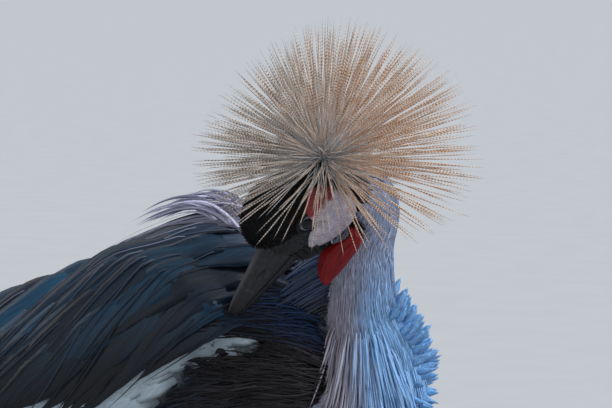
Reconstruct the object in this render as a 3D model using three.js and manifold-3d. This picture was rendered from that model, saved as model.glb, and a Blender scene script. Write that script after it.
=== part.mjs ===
// A grey crowned crane, life size in millimetres, standing with its neck drawn back and its head turned
// over its right shoulder, so that the bill points back and down along the side of the body.
// The bird faces +X, its left side is +Y and it stands on the plane z = 0.
import * as THREE from "three";
import { mergeVertices } from "three/addons/utils/BufferGeometryUtils.js";
import Module from "manifold-3d";

const wasm = await Module();
wasm.setup();

// Driving dimensions

const GAP = 0.35; // between pieces that touch
const V = (x, y, z) => new THREE.Vector3(x, y, z);
const RIGHT = -1;
const LEFT = 1;

// The trunk, by distance along X: height of its middle, half width, rise above and fall below the middle.
const TRUNK_REAR = -200;
const TRUNK_FRONT = 146;
const trunkKnots = {
  middle: [[-200, 434], [-150, 444], [-100, 460], [-50, 478], [0, 493], [50, 504], [100, 497], [146, 480]],
  width: [[-200, 12], [-150, 46], [-100, 64], [-50, 74], [0, 76], [50, 69], [100, 54], [130, 38], [146, 12]],
  above: [[-200, 10], [-150, 37], [-100, 56], [-50, 70], [0, 83], [50, 84], [100, 75], [130, 56], [146, 14]],
  below: [[-200, 10], [-150, 36], [-100, 54], [-50, 72], [0, 86], [50, 85], [100, 70], [130, 46], [146, 12]],
};

// The folded wings follow the trunk and go on past it, over the tail.
const foldKnots = {
  middle: [[-400, 370], [-300, 402], [-250, 419], [-200, 436], [-150, 451], [-100, 463], [-50, 478], [0, 493], [50, 504]],
  width: [[-400, 27], [-300, 40], [-250, 48], [-200, 56], [-150, 63], [-100, 69], [-50, 74], [0, 76], [50, 69]],
  depth: [[-400, 10], [-300, 19], [-250, 26], [-200, 34], [-150, 45], [-100, 58], [-50, 70], [0, 83], [50, 84]],
};

const ARM = { rear: -58, front: 90, inner: 1.8, outer: 9.2 }; // inner and outer face stand this far off the trunk
const SECONDARY_ROOT = { rear: -96, front: -58 - GAP, inner: 6, outer: 8 };
const PRIMARY_ROOT = { rear: -96, front: -58 - GAP, inner: 1.8, outer: 4.7 };
const SHELL_EDGE = 1.2;

// The neck, from inside the chest to the back of the skull, with its radius at the same places.
const neckPath = [
  V(96, 0, 468), V(128, -1, 458), V(149, -5, 488), V(149, -18, 532),
  V(155, -36, 572), V(165, -56, 599), V(163, -74, 612), V(152, -87, 613),
];
const neckRadius = [[0, 40], [0.12, 44], [0.3, 38.5], [0.48, 27], [0.68, 22], [0.85, 19], [1, 15]];
const NECK_CUTS = [0.5, 0.72]; // where the lower, middle and upper lengths part

// The head's own frame: X towards the bill, Y to the bird's left, Z to the crown; its origin lies between the eyes.
const headPlace = V(127, -91, 600);
const headForward = V(-0.599, 0.222, -0.769);
const headUp = V(-0.61, -0.749, 0.258);
const skullKnots = {
  width: [[-44, 3], [-38, 14], [-24, 20], [-6, 21], [12, 18.5], [26, 13], [36, 8.5]],
  above: [[-44, 3], [-38, 15], [-24, 24], [-6, 27], [12, 22], [26, 14], [36, 8]],
  below: [[-44, 3], [-38, 16], [-24, 28], [-6, 31], [12, 27], [26, 19], [36, 15]],
};
const cushion = { centre: V(8, 0, 17.5), radii: V(26.5, 20.5, 17.5) };
const eyeBall = { forward: -2, side: 15, up: 6, radius: 7 };

// The wattle hangs from the throat. Down it: how far its middle lies towards the nape, its half width, half thickness.
const wattleRoot = V(-3, 2, -25);
const WATTLE_DROP = 46;
const wattleLevels = [
  [-6, 2, 9, 4.5], [5, 3.5, 13, 6], [13, 3.8, 15, 6], [20, 3.2, 14.8, 5.2], [27, 0.5, 12.6, 4.6], [33, -3, 10, 4],
  [38, -5.4, 7.4, 3.4], [43, -6.8, 4.4, 2.4],
];

// The bill, along its own axis from the feathers of the forehead to the tip.
const BILL_BASE = 33;
const BILL_TIP = 92;
const billKnots = {
  ridge: [[33, 10.5], [40, 10], [57, 7], [74, 4.4], [82, 2.4], [88, 0], [92, -2.6]],
  gape: [[33, -7], [57, -6.4], [80, -5], [92, -3.8]],
  keel: [[33, -17.5], [39, -16.8], [55, -13.6], [68, -12], [80, -9.6], [87, -7.3], [92, -4.8]],
  width: [[33, 9.8], [40, 9], [60, 6.6], [80, 3.7], [92, 1]],
};
const MOUTH_GAP = 0.6;

// The crown of bristles: a half globe of spines that faces back from the hind crown.
const crown = { root: V(-39, 0, 9), axis: V(-0.78, 0, 0.62).normalize(), spread: 99, reach: 98 };
const CROWN_SPINES = 118;
const SPINE_WIDE = 2;

// The legs
const STANCE = 36; // each leg's distance from the middle
const FOOT_OUT = 9; // degrees
const legPoints = {
  thighTop: V(34, 0, 452),
  thighEnd: V(-6, 0, 322),
  hock: V(-27, 0, 226),
  ankle: V(6, 0, 14),
};
const TOE_RADIUS = 4.6;
const FLAT = 0.9; // how much of each toe's underside is flattened by the floor
const toes = [
  { name: "middle", turn: 0, length: 78, joints: 3 },
  { name: "inner", turn: -33, length: 58, joints: 2 },
  { name: "outer", turn: 35, length: 64, joints: 3 },
  { name: "hind", turn: 166, length: 27, joints: 1 },
];
const CLAW = { length: 13, radius: 2.7 };

// Materials, from the bird's own colours

const finish = (color, roughness) => new THREE.MeshStandardMaterial({ color, roughness, metalness: 0 });
const slate = finish(0x39434f, 0.7);
const pearl = finish(0x8794a6, 0.75);
const white = finish(0xc9cdd0, 0.7);
const maroon = finish(0x40221c, 0.6);
const soot = finish(0x15161a, 0.6);
const velvet = finish(0x08080a, 0.95);
const bareCheek = finish(0xb9adb2, 0.55);
const wattleRed = finish(0x8e1217, 0.45);
const billGrey = finish(0x2c2b2d, 0.4);
const straw = finish(0xc49a63, 0.5);
const eyeGrey = finish(0x77828c, 0.1);
const legBlack = finish(0x1b1b1d, 0.6);
const clawBlack = finish(0x101012, 0.35);

// Numbers: a seeded draw, and smooth values through a few knots

function seeded(seed) {
  let state = seed;
  return () => {
    state = (state * 1664525 + 1013904223) % 4294967296;
    return state / 4294967296;
  };
}

function through(knots) {
  const slope = (i) => {
    const [x0, y0] = knots[Math.max(i - 1, 0)];
    const [x1, y1] = knots[Math.min(i + 1, knots.length - 1)];
    return (y1 - y0) / (x1 - x0);
  };
  return (x) => {
    const last = knots.length - 1;
    const i = Math.min(Math.max(knots.findIndex((k) => k[0] >= x), 1), last);
    const at = x > knots[last][0] ? last : i;
    const [x0, y0] = knots[at - 1];
    const [x1, y1] = knots[at];
    const span = x1 - x0;
    const t = THREE.MathUtils.clamp((x - x0) / span, 0, 1);
    const a = (1 + 2 * t) * (1 - t) * (1 - t) * y0 + t * t * (3 - 2 * t) * y1;
    return a + span * (t * (1 - t) * (1 - t) * slope(at - 1) - t * t * (1 - t) * slope(at));
  };
}

const curvesOf = (set) => Object.fromEntries(Object.entries(set).map(([name, knots]) => [name, through(knots)]));
const spread = (count, from, to) => Array.from({ length: count }, (_, i) => from + ((to - from) * i) / (count - 1));
const radians = THREE.MathUtils.degToRad;
const smooth = THREE.MathUtils.smoothstep;
const mix = THREE.MathUtils.lerp;

// Solids: closed skins over rings of points, joined and cut

function solid(points, triangles) {
  const vertProperties = new Float32Array(points.flatMap((p) => [p.x, p.y, p.z]));
  const make = (triVerts) => new wasm.Manifold(new wasm.Mesh({ numProp: 3, vertProperties, triVerts }));
  const made = make(new Uint32Array(triangles));
  if (made.volume() > 0) return made;
  return make(new Uint32Array(triangles).reverse());
}

// An end ring is closed from side to side, in a zigzag, which keeps inside a crescent too.
function endCap(count) {
  const faces = [];
  let low = 0;
  let high = count - 1;
  while (high - low > 1) {
    faces.push([low, low + 1, high]);
    low += 1;
    if (high - low > 1) {
      faces.push([low, high - 1, high]);
      high -= 1;
    }
  }
  return faces;
}

// A ring of one point closes that end to a tip. turned(k) says which way each four-sided face is split.
function skin(rings, turned = () => false) {
  const triangles = [];
  let start = 0;
  for (let i = 0; i + 1 < rings.length; i += 1) {
    const a = rings[i].length;
    const b = rings[i + 1].length;
    const next = start + a;
    for (let k = 0; k < Math.max(a, b); k += 1) {
      const a0 = start + (k % a);
      const a1 = start + ((k + 1) % a);
      const b0 = next + (k % b);
      const b1 = next + ((k + 1) % b);
      if (a > 1 && b > 1 && turned(k)) triangles.push(a0, a1, b1, a0, b1, b0);
      else {
        if (a > 1) triangles.push(a0, a1, b0);
        if (b > 1) triangles.push(a1, b1, b0);
      }
    }
    start = next;
  }
  for (const [a, b, c] of endCap(rings[0].length)) triangles.push(a, c, b);
  for (const [a, b, c] of endCap(rings.at(-1).length)) triangles.push(start + a, start + b, start + c);
  return solid(rings.flat(), triangles);
}

const fused = (pieces) => wasm.Manifold.union(pieces);
const turnsOf = (sides) => Array.from({ length: sides }, (_, k) => (2 * Math.PI * k) / sides);

function largest(made) {
  return made.decompose().reduce((best, body) => (body.volume() > best.volume() ? body : best));
}

function solidOf(geometry) {
  const merged = mergeVertices(geometry.deleteAttribute("normal").deleteAttribute("uv"), 1e-4);
  const place = merged.attributes.position;
  const points = Array.from({ length: place.count }, (_, i) => V(place.getX(i), place.getY(i), place.getZ(i)));
  return solid(points, Array.from(merged.index.array));
}

function ball(centre, radii, across = 12, down = 8) {
  const round = new THREE.SphereGeometry(1, across, down).scale(radii.x, radii.y, radii.z);
  return solidOf(round.translate(centre.x, centre.y, centre.z));
}

// A round limb through points, with its radius by the share of its length.
function limb(points, radiusKnots, { sides = 10, steps = 8, grow = 0, from = 0, to = 1, squash = 1 } = {}) {
  const curve = new THREE.CatmullRomCurve3(points, false, "centripetal");
  const radius = through(radiusKnots);
  const fine = 60;
  const frames = curve.computeFrenetFrames(fine, false);
  const rings = spread(steps, from, to).map((t) => {
    const at = Math.round(t * fine);
    const centre = curve.getPointAt(at / fine);
    const size = radius(t) + grow;
    return turnsOf(sides).map((a) =>
      centre
        .clone()
        .addScaledVector(frames.normals[at], size * Math.cos(a))
        .addScaledVector(frames.binormals[at], size * squash * Math.sin(a)),
    );
  });
  return skin(rings);
}

// A thin feather. place(t, s, lift) gives the point a share t along it, s from -1 to 1 across, lift off its plane.
const FLAT_VANE = { across: [-1, 1], cuts: [0, 0.3, 0.6, 0.85] };
const SHORT_VANE = { across: [-1, 1], cuts: [0, 0.4, 0.78] };
const RIDGED_VANE = { across: [-1, 0, 1], cuts: [0, 0.25, 0.5, 0.75, 0.93] };

function feather(place, thick, form = FLAT_VANE) {
  const { across, cuts } = form;
  const rings = cuts.map((t) => {
    const over = across.map((s) => place(t, s, thick / 2 + (s === 0 ? 0.4 : 0)));
    const under = across.map((s) => place(t, s, -thick / 2 + (s === 0 ? 0.4 : 0))).reverse();
    return [...over, ...under];
  });
  return skin([...rings, [place(1, 0, 0)]], (k) => k >= across.length && k < 2 * across.length - 1);
}

// A three-sided bristle from a root to a point.
function spine(root, tip, wide) {
  const along = tip.clone().sub(root);
  const side = V(0, 0, 1).cross(along).normalize();
  const other = along.clone().normalize().cross(side);
  const ring = (t, r) =>
    turnsOf(3).map((a) =>
      root
        .clone()
        .addScaledVector(along, t)
        .addScaledVector(side, r * Math.cos(a))
        .addScaledVector(other, r * Math.sin(a)),
    );
  return skin([ring(0, wide / 2), [tip]]);
}

// The model is a group of named meshes.
const crane = new THREE.Group();

function add(name, made, material, parent = crane) {
  const { vertProperties, triVerts } = largest(made).getMesh();
  const geometry = new THREE.BufferGeometry()
    .setAttribute("position", new THREE.BufferAttribute(new Float32Array(vertProperties), 3))
    .setIndex(new THREE.BufferAttribute(new Uint32Array(triVerts), 1));
  geometry.computeVertexNormals();
  const mesh = new THREE.Mesh(geometry, material);
  mesh.name = name;
  parent.add(mesh);
}

// Trunk and folded wing surfaces. turn is 0 at the top of the back and 90 at the side; side is LEFT or RIGHT.

const trunk = curvesOf(trunkKnots);
const fold = curvesOf(foldKnots);

function trunkPoint(x, turn, side, lift) {
  const a = radians(turn);
  const tall = Math.cos(a) > 0 ? trunk.above(x) : trunk.below(x);
  return V(x, side * (trunk.width(x) + lift) * Math.sin(a), trunk.middle(x) + (tall + lift) * Math.cos(a));
}

function foldPoint(x, turn, side, lift) {
  if (x > 0) return trunkPoint(x, turn, side, lift);
  const a = radians(turn);
  const belly = mix(fold.depth(x), trunk.below(Math.max(x, TRUNK_REAR)), mix(0.5, 1, smooth(x, -110, -20)));
  const tall = Math.cos(a) > 0 ? fold.depth(x) : belly;
  return V(x, side * (fold.width(x) + lift) * Math.sin(a), fold.middle(x) + (tall + lift) * Math.cos(a));
}

function trunkSolid(grow = 0) {
  const places = [-200, -180, -150, -110, -70, -30, 10, 50, 85, 110, 128, 139, 146];
  const rings = places.map((x) => turnsOf(16).map((a) => trunkPoint(x, THREE.MathUtils.radToDeg(a), LEFT, grow)));
  return skin([[V(TRUNK_REAR - 4 - grow, 0, 432)], ...rings, [V(TRUNK_FRONT + 3 + grow, 0, 480)]]);
}

const foldRadius = (x) => (x > 0 ? trunk.width(x) : fold.width(x));

// A feather lying on the folded side: root at (x, turn), length back along the body, drop in degrees towards the
// tip, half width, lift off the surface, rooted where it starts, tilt that lets neighbours overlap like tiles.
function lying({ x, turn, length, drop, half, lift, tilt, side, thick, form, outline, rooted }) {
  const place = (t, s, up) => {
    const back = x - length * t;
    const degrees = turn + drop * t + (s * THREE.MathUtils.radToDeg((half * outline(t)) / foldRadius(back)));
    const rise = mix(rooted, lift(t * length, degrees) + s * tilt, smooth(t, 0, 0.22));
    return foldPoint(back, degrees, side, rise + up);
  };
  return feather(place, thick, form);
}

const lance = (t) => 0.45 + 0.55 * Math.sin(Math.PI * Math.min(1, t * 0.95 + 0.12)) * (1 - 0.35 * t);
const paddle = (t) => 0.5 + 0.5 * Math.min(1, t * 3.2) - 0.25 * smooth(t, 0.8, 1);

// Torso with the long feathers of the mantle and shoulders, which lie over the upper edge of each wing.
// Along a row each feather rises backwards, so that its tip passes over the root of the next.
const wingTop = through([[-320, 14], [-200, 16], [-96, 24], [-60, 32], [0, 42], [60, 68], [90, 82], [110, 100]]);
const overWing = (x, degrees) => mix(2.6, 18.2, smooth(degrees, wingTop(x) - 22, wingTop(x) - 8));

function mantle(side) {
  const draw = seeded(side === RIGHT ? 11 : 12);
  const rows = [
    { turn: 46, from: 86, to: 58, count: 2, length: 124, drop: 38, half: 10.5 },
    { turn: 33, from: 88, to: 26, count: 3, length: 124, drop: 37, half: 10.5 },
    { turn: 21, from: 94, to: -42, count: 4, length: 122, drop: 28, half: 10.5 },
    { turn: 8, from: 98, to: -82, count: 4, length: 118, drop: 12, half: 10 },
  ];
  const back = rows.flatMap((row) => {
    const step = (row.from - row.to) / (row.count - 1);
    return spread(row.count, row.from, row.to).map((x) =>
      lying({
        x,
        turn: row.turn,
        length: row.length * (0.94 + 0.12 * draw()),
        drop: row.drop,
        half: row.half,
        lift: (run, degrees) => overWing(x - run, degrees) + (1.15 * run) / step,
        tilt: 1.5,
        side,
        thick: 0.8,
        form: FLAT_VANE,
        outline: lance,
        rooted: -4,
      }),
    );
  });
  const shoulder = spread(4, 80, 112).map((turn) =>
    lying({
      x: 110,
      turn,
      length: 62,
      drop: 6,
      half: 9.5,
      lift: (run) => mix(1.5, 15.5, smooth(run, 0, 24)),
      tilt: 1.2,
      side,
      thick: 0.8,
      form: SHORT_VANE,
      outline: lance,
      rooted: -3.5,
    }),
  );
  return [...back, ...shoulder];
}

const torso = fused([trunkSolid(), ...mantle(LEFT), ...mantle(RIGHT)]);
const trunkClear = trunkSolid(GAP);

// One folded wing: the arm with two tiers of white coverts, the long inner flight feathers and the dark primaries
const upperEdge = through([[-96, 27], [-60, 34], [0, 42], [60, 68], [90, 82]]);
const lowerEdge = through([[-96, 102], [-60, 108], [0, 114], [60, 110], [90, 92]]);

function shell(side, span, count, upper = upperEdge) {
  const columns = spread(6, 0, 1);
  const slices = spread(count, span.rear, span.front).map((x, i) => {
    const blunt = span === ARM && i === count - 1 ? 0.35 : 1;
    const across = (s) => mix(upper(x), lowerEdge(x), s);
    const thick = span.outer - span.inner - SHELL_EDGE;
    const round = (s) => SHELL_EDGE + thick * Math.sin(Math.PI * s) ** 0.5 * blunt;
    const over = columns.map((s) => foldPoint(x, across(s), side, span.inner + round(s)));
    const under = columns.map((s) => foldPoint(x, across(s), side, span.inner)).reverse();
    return [...over, ...under];
  });
  return skin(slices);
}

function coverts(side) {
  const tiers = [
    { from: [-42, 48], to: [-38, 102], count: 5, length: 76, half: 10.5, layer: 2.3, drop: 2 },
    { from: [6, 56], to: [4, 106], count: 5, length: 72, half: 10.5, layer: 3.6, drop: 2 },
    { from: [54, 80], to: [54, 108], count: 4, length: 72, half: 9.5, layer: 4.9, drop: 2 },
  ];
  return tiers.flatMap((tier) =>
    spread(tier.count, 0, 1).map((s) =>
      lying({
        x: mix(tier.from[0], tier.to[0], s),
        turn: mix(tier.from[1], tier.to[1], s),
        length: tier.length,
        drop: tier.drop,
        half: tier.half,
        lift: () => ARM.outer + tier.layer,
        tilt: 1.0,
        side,
        thick: 0.7,
        form: FLAT_VANE,
        outline: paddle,
        rooted: ARM.outer - 2.5,
      }),
    ),
  );
}

function flight(side, { turns, lengths, half, lift, drops, x }) {
  const count = turns.length;
  return turns.map((turn, i) =>
    lying({
      x: x - (i * 6) / count,
      turn,
      length: lengths[i],
      drop: drops[i],
      half,
      lift: () => lift,
      tilt: 1.3,
      side,
      thick: 0.8,
      form: RIDGED_VANE,
      outline: paddle,
      rooted: lift,
    }),
  );
}

function wing(side, label) {
  const arm = fused([shell(side, ARM, 7), ...coverts(side)]);
  add(`wing_${label}_arm`, arm, white);
  const inner = [shell(side, SECONDARY_ROOT, 3)];
  inner.push(
    ...flight(side, {
      turns: [33, 47, 61, 75, 89],
      lengths: [232, 254, 264, 250, 226],
      drops: [-13, -9, -5, -1, 0],
      half: 12.5,
      lift: 8,
      x: -70,
    }),
  );
  add(`wing_${label}_secondaries`, fused(inner), maroon);
  const outer = [shell(side, PRIMARY_ROOT, 3, through([[-96, 52], [-58, 56]]))];
  outer.push(
    ...flight(side, {
      turns: [60, 74, 88],
      lengths: [306, 316, 298],
      drops: [0, 0, 1],
      half: 11,
      lift: 2.9,
      x: -70,
    }),
  );
  add(`wing_${label}_primaries`, fused(outer), soot);
}

// The tail: a short root block and twelve feathers fanned in two stacks
const TAIL_ROOT = V(-196, 0, 429);
const TAIL_SLOPE = 20;
const TAIL_LENGTH = 212;

function tail() {
  const back = V(-Math.cos(radians(TAIL_SLOPE)), 0, -Math.sin(radians(TAIL_SLOPE)));
  const up = V(-Math.sin(radians(TAIL_SLOPE)), 0, Math.cos(radians(TAIL_SLOPE)));
  const across = V(0, 1, 0);
  const put = (along, side, rise) =>
    TAIL_ROOT.clone().addScaledVector(back, along).addScaledVector(across, side).addScaledVector(up, rise);
  const blockRings = [[-12, 17, 11], [0, 20, 12], [16, 21, 9.5], [34, 18, 6]].map(([along, wide, high]) =>
    turnsOf(12).map((a) => put(along, wide * Math.cos(a), high * Math.sin(a) - 1)),
  );
  const pieces = [skin(blockRings)];
  for (const side of [LEFT, RIGHT]) {
    for (let i = 0; i < 6; i += 1) {
      const fan = radians(side * (1.5 + 2.7 * i));
      const level = 2.4 - 1.5 * i - (side === RIGHT ? 0.75 : 0);
      const length = TAIL_LENGTH * (1 - 0.012 * i * i);
      const half = 10.5;
      const place = (t, s, lift) => {
        const run = 8 + length * t;
        const offset = side * (2.2 + 1.6 * i) + s * half * paddle(t);
        const sag = -6 * t * t - (s * s * lift * 0.2);
        return put(
          run * Math.cos(fan) - offset * Math.sin(fan),
          run * Math.sin(fan) + offset * Math.cos(fan),
          level + sag + lift,
        );
      };
      pieces.push(feather(place, 0.8, FLAT_VANE));
    }
  }
  return fused(pieces);
}

// The neck in three lengths; the lower one wears the long pointed hackles that hang over the chest
const neckCurve = new THREE.CatmullRomCurve3(neckPath, false, "centripetal");
const neckThick = through(neckRadius);
const NECK_LENGTH = neckCurve.getLength();

function neckLength(from, to, steps, grow = 0) {
  const shut = GAP / 2 / NECK_LENGTH;
  const span = [from > 0 ? from + shut : from, to < 1 ? to - shut : to];
  const rings = spread(steps, ...span).map((t) => {
    const centre = neckCurve.getPointAt(t);
    const along = neckCurve.getTangentAt(t);
    const side = V(0, 0, 1).cross(along);
    if (side.lengthSq() < 0.01) side.copy(V(-1, 0, 0).cross(along));
    const across = V(-0.45, 0.9, 0).projectOnPlane(along).normalize();
    const other = along.clone().cross(across);
    const size = neckThick(t) + grow;
    return turnsOf(14).map((a) =>
      centre
        .clone()
        .addScaledVector(across, size * Math.cos(a))
        .addScaledVector(other, size * Math.sin(a)),
    );
  });
  return skin(rings);
}

// A hackle hangs from the neck at a share along it and a turn round it, first out, then down.
function hackle({ share, turn, length, half, stand }) {
  const centre = neckCurve.getPointAt(share);
  const out = V(Math.cos(radians(turn)), Math.sin(radians(turn)), 0);
  const side = V(-out.y, out.x, 0);
  const size = neckThick(share);
  const place = (t, s, lift) => {
    const reach = size - 4 + 8 * smooth(t, 0, 0.3) + stand * t + lift - Math.abs(s) * 1.2;
    return centre
      .clone()
      .addScaledVector(out, reach)
      .addScaledVector(side, s * half * lance(t))
      .add(V(0, 0, -length * t));
  };
  return feather(place, 0.8, SHORT_VANE);
}

function hackles() {
  const draw = seeded(21);
  const rows = [
    { share: 0.31, count: 10, length: 66, stand: 4, half: 7.2 },
    { share: 0.38, count: 10, length: 68, stand: 10, half: 6.6 },
    { share: 0.45, count: 9, length: 66, stand: 17, half: 6 },
  ];
  return rows.flatMap((row, level) =>
    spread(row.count, -118, 118).map((turn) =>
      hackle({
        share: row.share,
        turn: turn + (level % 2) * 11 + 4 * draw(),
        length: row.length * (0.85 + 0.3 * draw()),
        half: row.half,
        stand: row.stand + 4 * draw(),
      }),
    ),
  );
}

// The head, in its own frame
const head = new THREE.Group();
const headLeft = headUp.clone().cross(headForward).normalize();
const forward = headForward.clone().normalize();
const headMatrix = new THREE.Matrix4()
  .makeBasis(forward, headLeft, forward.clone().cross(headLeft))
  .setPosition(headPlace);
headMatrix.decompose(head.position, head.quaternion, head.scale);
const skull = curvesOf(skullKnots);

function skullSolid(grow = 0) {
  const places = [-44, -41, -36, -28, -18, -8, 4, 14, 24, 32, 38];
  const rings = places.map((x) =>
    turnsOf(16).map((a) => {
      const tall = Math.sin(a) > 0 ? skull.above(x) : skull.below(x);
      const pinch = Math.sin(a) > 0 ? 1 : 1 - 0.25 * Math.sin(a) ** 2;
      return V(x, (skull.width(x) + grow) * Math.cos(a) * pinch, (tall + grow) * Math.sin(a));
    }),
  );
  const dome = ball(cushion.centre, cushion.radii.clone().addScalar(grow), 16, 10);
  return fused([skin([[V(-45.5 - grow, 0, 0)], ...rings, [V(38.4 + grow, 0, -2)]]), dome]);
}

const headClear = skullSolid(GAP);
const billClear = skullSolid(2 * GAP);
const eyes = [LEFT, RIGHT].map((side) => V(eyeBall.forward, side * eyeBall.side, eyeBall.up));

function lids(centre, side) {
  const ring = new THREE.TorusGeometry(5.9, 1.1, 5, 14).scale(1.12, 0.86, 1);
  ring.rotateX(-side * (Math.PI / 2 - 0.12));
  return solidOf(ring.translate(centre.x, centre.y + side * 5.6, centre.z));
}

// The bill: closed rings between the mouth line and the ridge, or the keel
const bill = curvesOf(billKnots);

function mandible(upper, grow = 0) {
  const places = [BILL_BASE, 40, 50, 60, 70, 79, 86, BILL_TIP];
  const rings = places.map((x) => {
    const edge = bill.gape(x) + (upper ? MOUTH_GAP / 2 - grow : -MOUTH_GAP / 2 + grow);
    const crest = upper ? bill.ridge(x) + grow : bill.keel(x) - grow;
    const wide = bill.width(x) + grow;
    return [0, 28, 58, 90, 122, 152, 180].map((degrees) => {
      const a = radians(degrees);
      return V(x, wide * Math.cos(a), edge + (crest - edge) * Math.sin(a) ** (upper ? 0.85 : 0.8));
    });
  });
  const tip = V(BILL_TIP + 1.5, 0, bill.gape(BILL_TIP) + (upper ? 0.1 : -0.7));
  return skin([...rings, [tip]]);
}

function upperBill() {
  const nostrils = [LEFT, RIGHT].map((side) => ball(V(53, side * 7.4, 0), V(4.6, 1.6, 1.5), 8, 6));
  return nostrils.reduce((made, hole) => made.subtract(hole), mandible(true).subtract(billClear));
}

// The bare cheek: a thin plate on the side of the head, cut to the outline of the patch
function cheek(side) {
  const outline = [
    [1, -1.5], [6.5, -1], [11, -4.5], [15.5, -9.5], [10, -14.5], [4, -19], [-4, -22.5], [-13, -22], [-23, -15],
    [-30, -3], [-30, 8], [-25, 15], [-15, 15], [-9.5, 12], [-6.5, 6], [-4.5, 1.5],
  ];
  const shape = new THREE.Shape(outline.map(([x, z]) => new THREE.Vector2(x, z)));
  const plate = new THREE.ExtrudeGeometry(shape, { depth: 30, bevelEnabled: false });
  plate.rotateX(Math.PI / 2).translate(0, side === LEFT ? 36 : -6, 0);
  const lidClear = ball(eyes[side === LEFT ? 0 : 1].clone().setY(side * 21), V(8.6, 9, 7.4), 16, 8);
  return skullSolid(1.5).intersect(solidOf(plate)).subtract(headClear).subtract(lidClear);
}

// The wattle: a loose pouch of skin that hangs straight down and narrows to a point on the bill's side
function wattle() {
  const down = V(0, 0, -1);
  const wide = V(0.938, -0.347, 0);
  const flat = down.clone().cross(wide);
  const root = wattleRoot.clone().applyMatrix4(headMatrix);
  const at = (drop, aside) => root.clone().addScaledVector(down, drop).addScaledVector(wide, aside);
  const rings = wattleLevels.map(([drop, aside, half, thick]) =>
    turnsOf(12).map((a) => {
      const fluted = 1 + 0.12 * Math.cos(3 * a);
      return at(drop, aside + half * Math.cos(a)).addScaledVector(flat, thick * fluted * Math.sin(a));
    }),
  );
  return skin([...rings, [at(WATTLE_DROP, wattleLevels.at(-1)[1])]]);
}

// The crown: spines drawn evenly over a half globe, left out where they would meet the head or the neck
function crownSolid() {
  const draw = seeded(31);
  const { root, axis } = crown;
  const level = V(0, 1, 0);
  const other = axis.clone().cross(level);
  const pieces = [ball(root, V(8, 9, 8), 10, 8)];
  const golden = Math.PI * (3 - Math.sqrt(5));
  const lowest = Math.cos(radians(crown.spread));
  for (let i = 0; i < CROWN_SPINES; i += 1) {
    const rise = mix(0.93, lowest, (i + 0.5) / CROWN_SPINES);
    const turn = i * golden + 0.3 * draw();
    const round = Math.sqrt(1 - rise * rise);
    const way = axis
      .clone()
      .multiplyScalar(rise)
      .addScaledVector(level, round * Math.cos(turn))
      .addScaledVector(other, round * Math.sin(turn));
    const length = crown.reach * (0.9 + 0.1 * draw()) * (way.x > 0.1 ? 0.86 : 1);
    pieces.push(spine(root.clone().addScaledVector(way, 3.5), root.clone().addScaledVector(way, length), SPINE_WIDE));
  }
  return fused(pieces);
}

// Legs. across is the leg's own Y; every piece of a leg is made beside the middle plane and shifted out.
const shifted = (point, side) => point.clone().add(V(0, side * STANCE, 0));

function thigh(side, grow = 0) {
  const { thighTop, thighEnd } = legPoints;
  const middle = thighTop.clone().lerp(thighEnd, 0.5).add(V(9, 0, 0));
  const end = thighEnd.clone().addScaledVector(thighEnd.clone().sub(middle).normalize(), grow);
  const points = [thighTop, middle, end].map((p) => shifted(p, side));
  return limb(points, [[0, 37], [0.3, 34], [0.6, 23], [1, 11.5]], { sides: 14, steps: 7, grow });
}

function shank(side) {
  const { thighEnd, hock } = legPoints;
  const top = thighEnd.clone().lerp(hock, -0.12);
  const end = thighEnd.clone().lerp(hock, 0.94);
  const points = [top, thighEnd, end].map((p) => shifted(p, side));
  return limb(points, [[0, 7.6], [0.5, 6.6], [0.85, 6.6], [1, 7.4]], { sides: 10, steps: 5 });
}

function hockSolid(side, grow = 0) {
  const { thighEnd, hock, ankle } = legPoints;
  const top = hock.clone().lerp(thighEnd, 0.09).add(V(0, 0, grow));
  const end = hock.clone().lerp(ankle, 0.075).add(V(0, 0, -grow));
  const points = [top, hock.clone().add(V(-1.5, 0, 0)), end].map((p) => shifted(p, side));
  return limb(points, [[0, 7.6], [0.4, 9.6], [0.75, 9], [1, 6.8]], { sides: 10, steps: 6, grow: 2 * grow });
}

function tarsus(side, grow = 0) {
  const { hock, ankle } = legPoints;
  const top = hock.clone().lerp(ankle, 0.05);
  const end = ankle.clone().add(V(0, 0, -grow));
  const points = [top, top.clone().lerp(end, 0.5), end].map((p) => shifted(p, side));
  return limb(points, [[0, 6.7], [0.12, 5.4], [0.6, 4.9], [0.9, 5.8], [1, 6.6]], { sides: 10, steps: 7, grow });
}

function toe(side, { turn, length, joints, name }, tipOnly = false) {
  const a = radians((turn + FOOT_OUT) * side);
  const way = V(Math.cos(a), Math.sin(a), 0);
  const start = shifted(V(legPoints.ankle.x, 0, 0), side);
  const height = (t) => TOE_RADIUS * (1 - 0.32 * t) - FLAT + (name === "hind" ? 3 * (1 - t) : 0);
  const bulge = (t) => 1 + 0.13 * Math.cos(2 * Math.PI * joints * t);
  const end = start.clone().addScaledVector(way, length).setZ(height(1));
  if (tipOnly) return { end, way };
  const side2 = V(-way.y, way.x, 0);
  const rings = spread(2 * joints + 2, 0, 1).map((t) => {
    const centre = start.clone().addScaledVector(way, length * t).setZ(height(t));
    const size = TOE_RADIUS * (1 - 0.32 * t) * bulge(t) * (name === "hind" ? 0.82 : 1);
    return turnsOf(6).map((turned) =>
      centre
        .clone()
        .addScaledVector(side2, size * Math.cos(turned))
        .add(V(0, 0, Math.max(size * Math.sin(turned), -centre.z))),
    );
  });
  return skin(rings);
}

const belowFloor = solidOf(new THREE.BoxGeometry(400, 400, 60).translate(0, 0, -30));

function foot(side) {
  const base = shifted(V(legPoints.ankle.x, 0, 6.2), side);
  const pieces = [ball(base, V(9, 8.5, 7.4), 10, 6), ...toes.map((each) => toe(side, each))];
  return fused(pieces).subtract(belowFloor);
}

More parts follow.
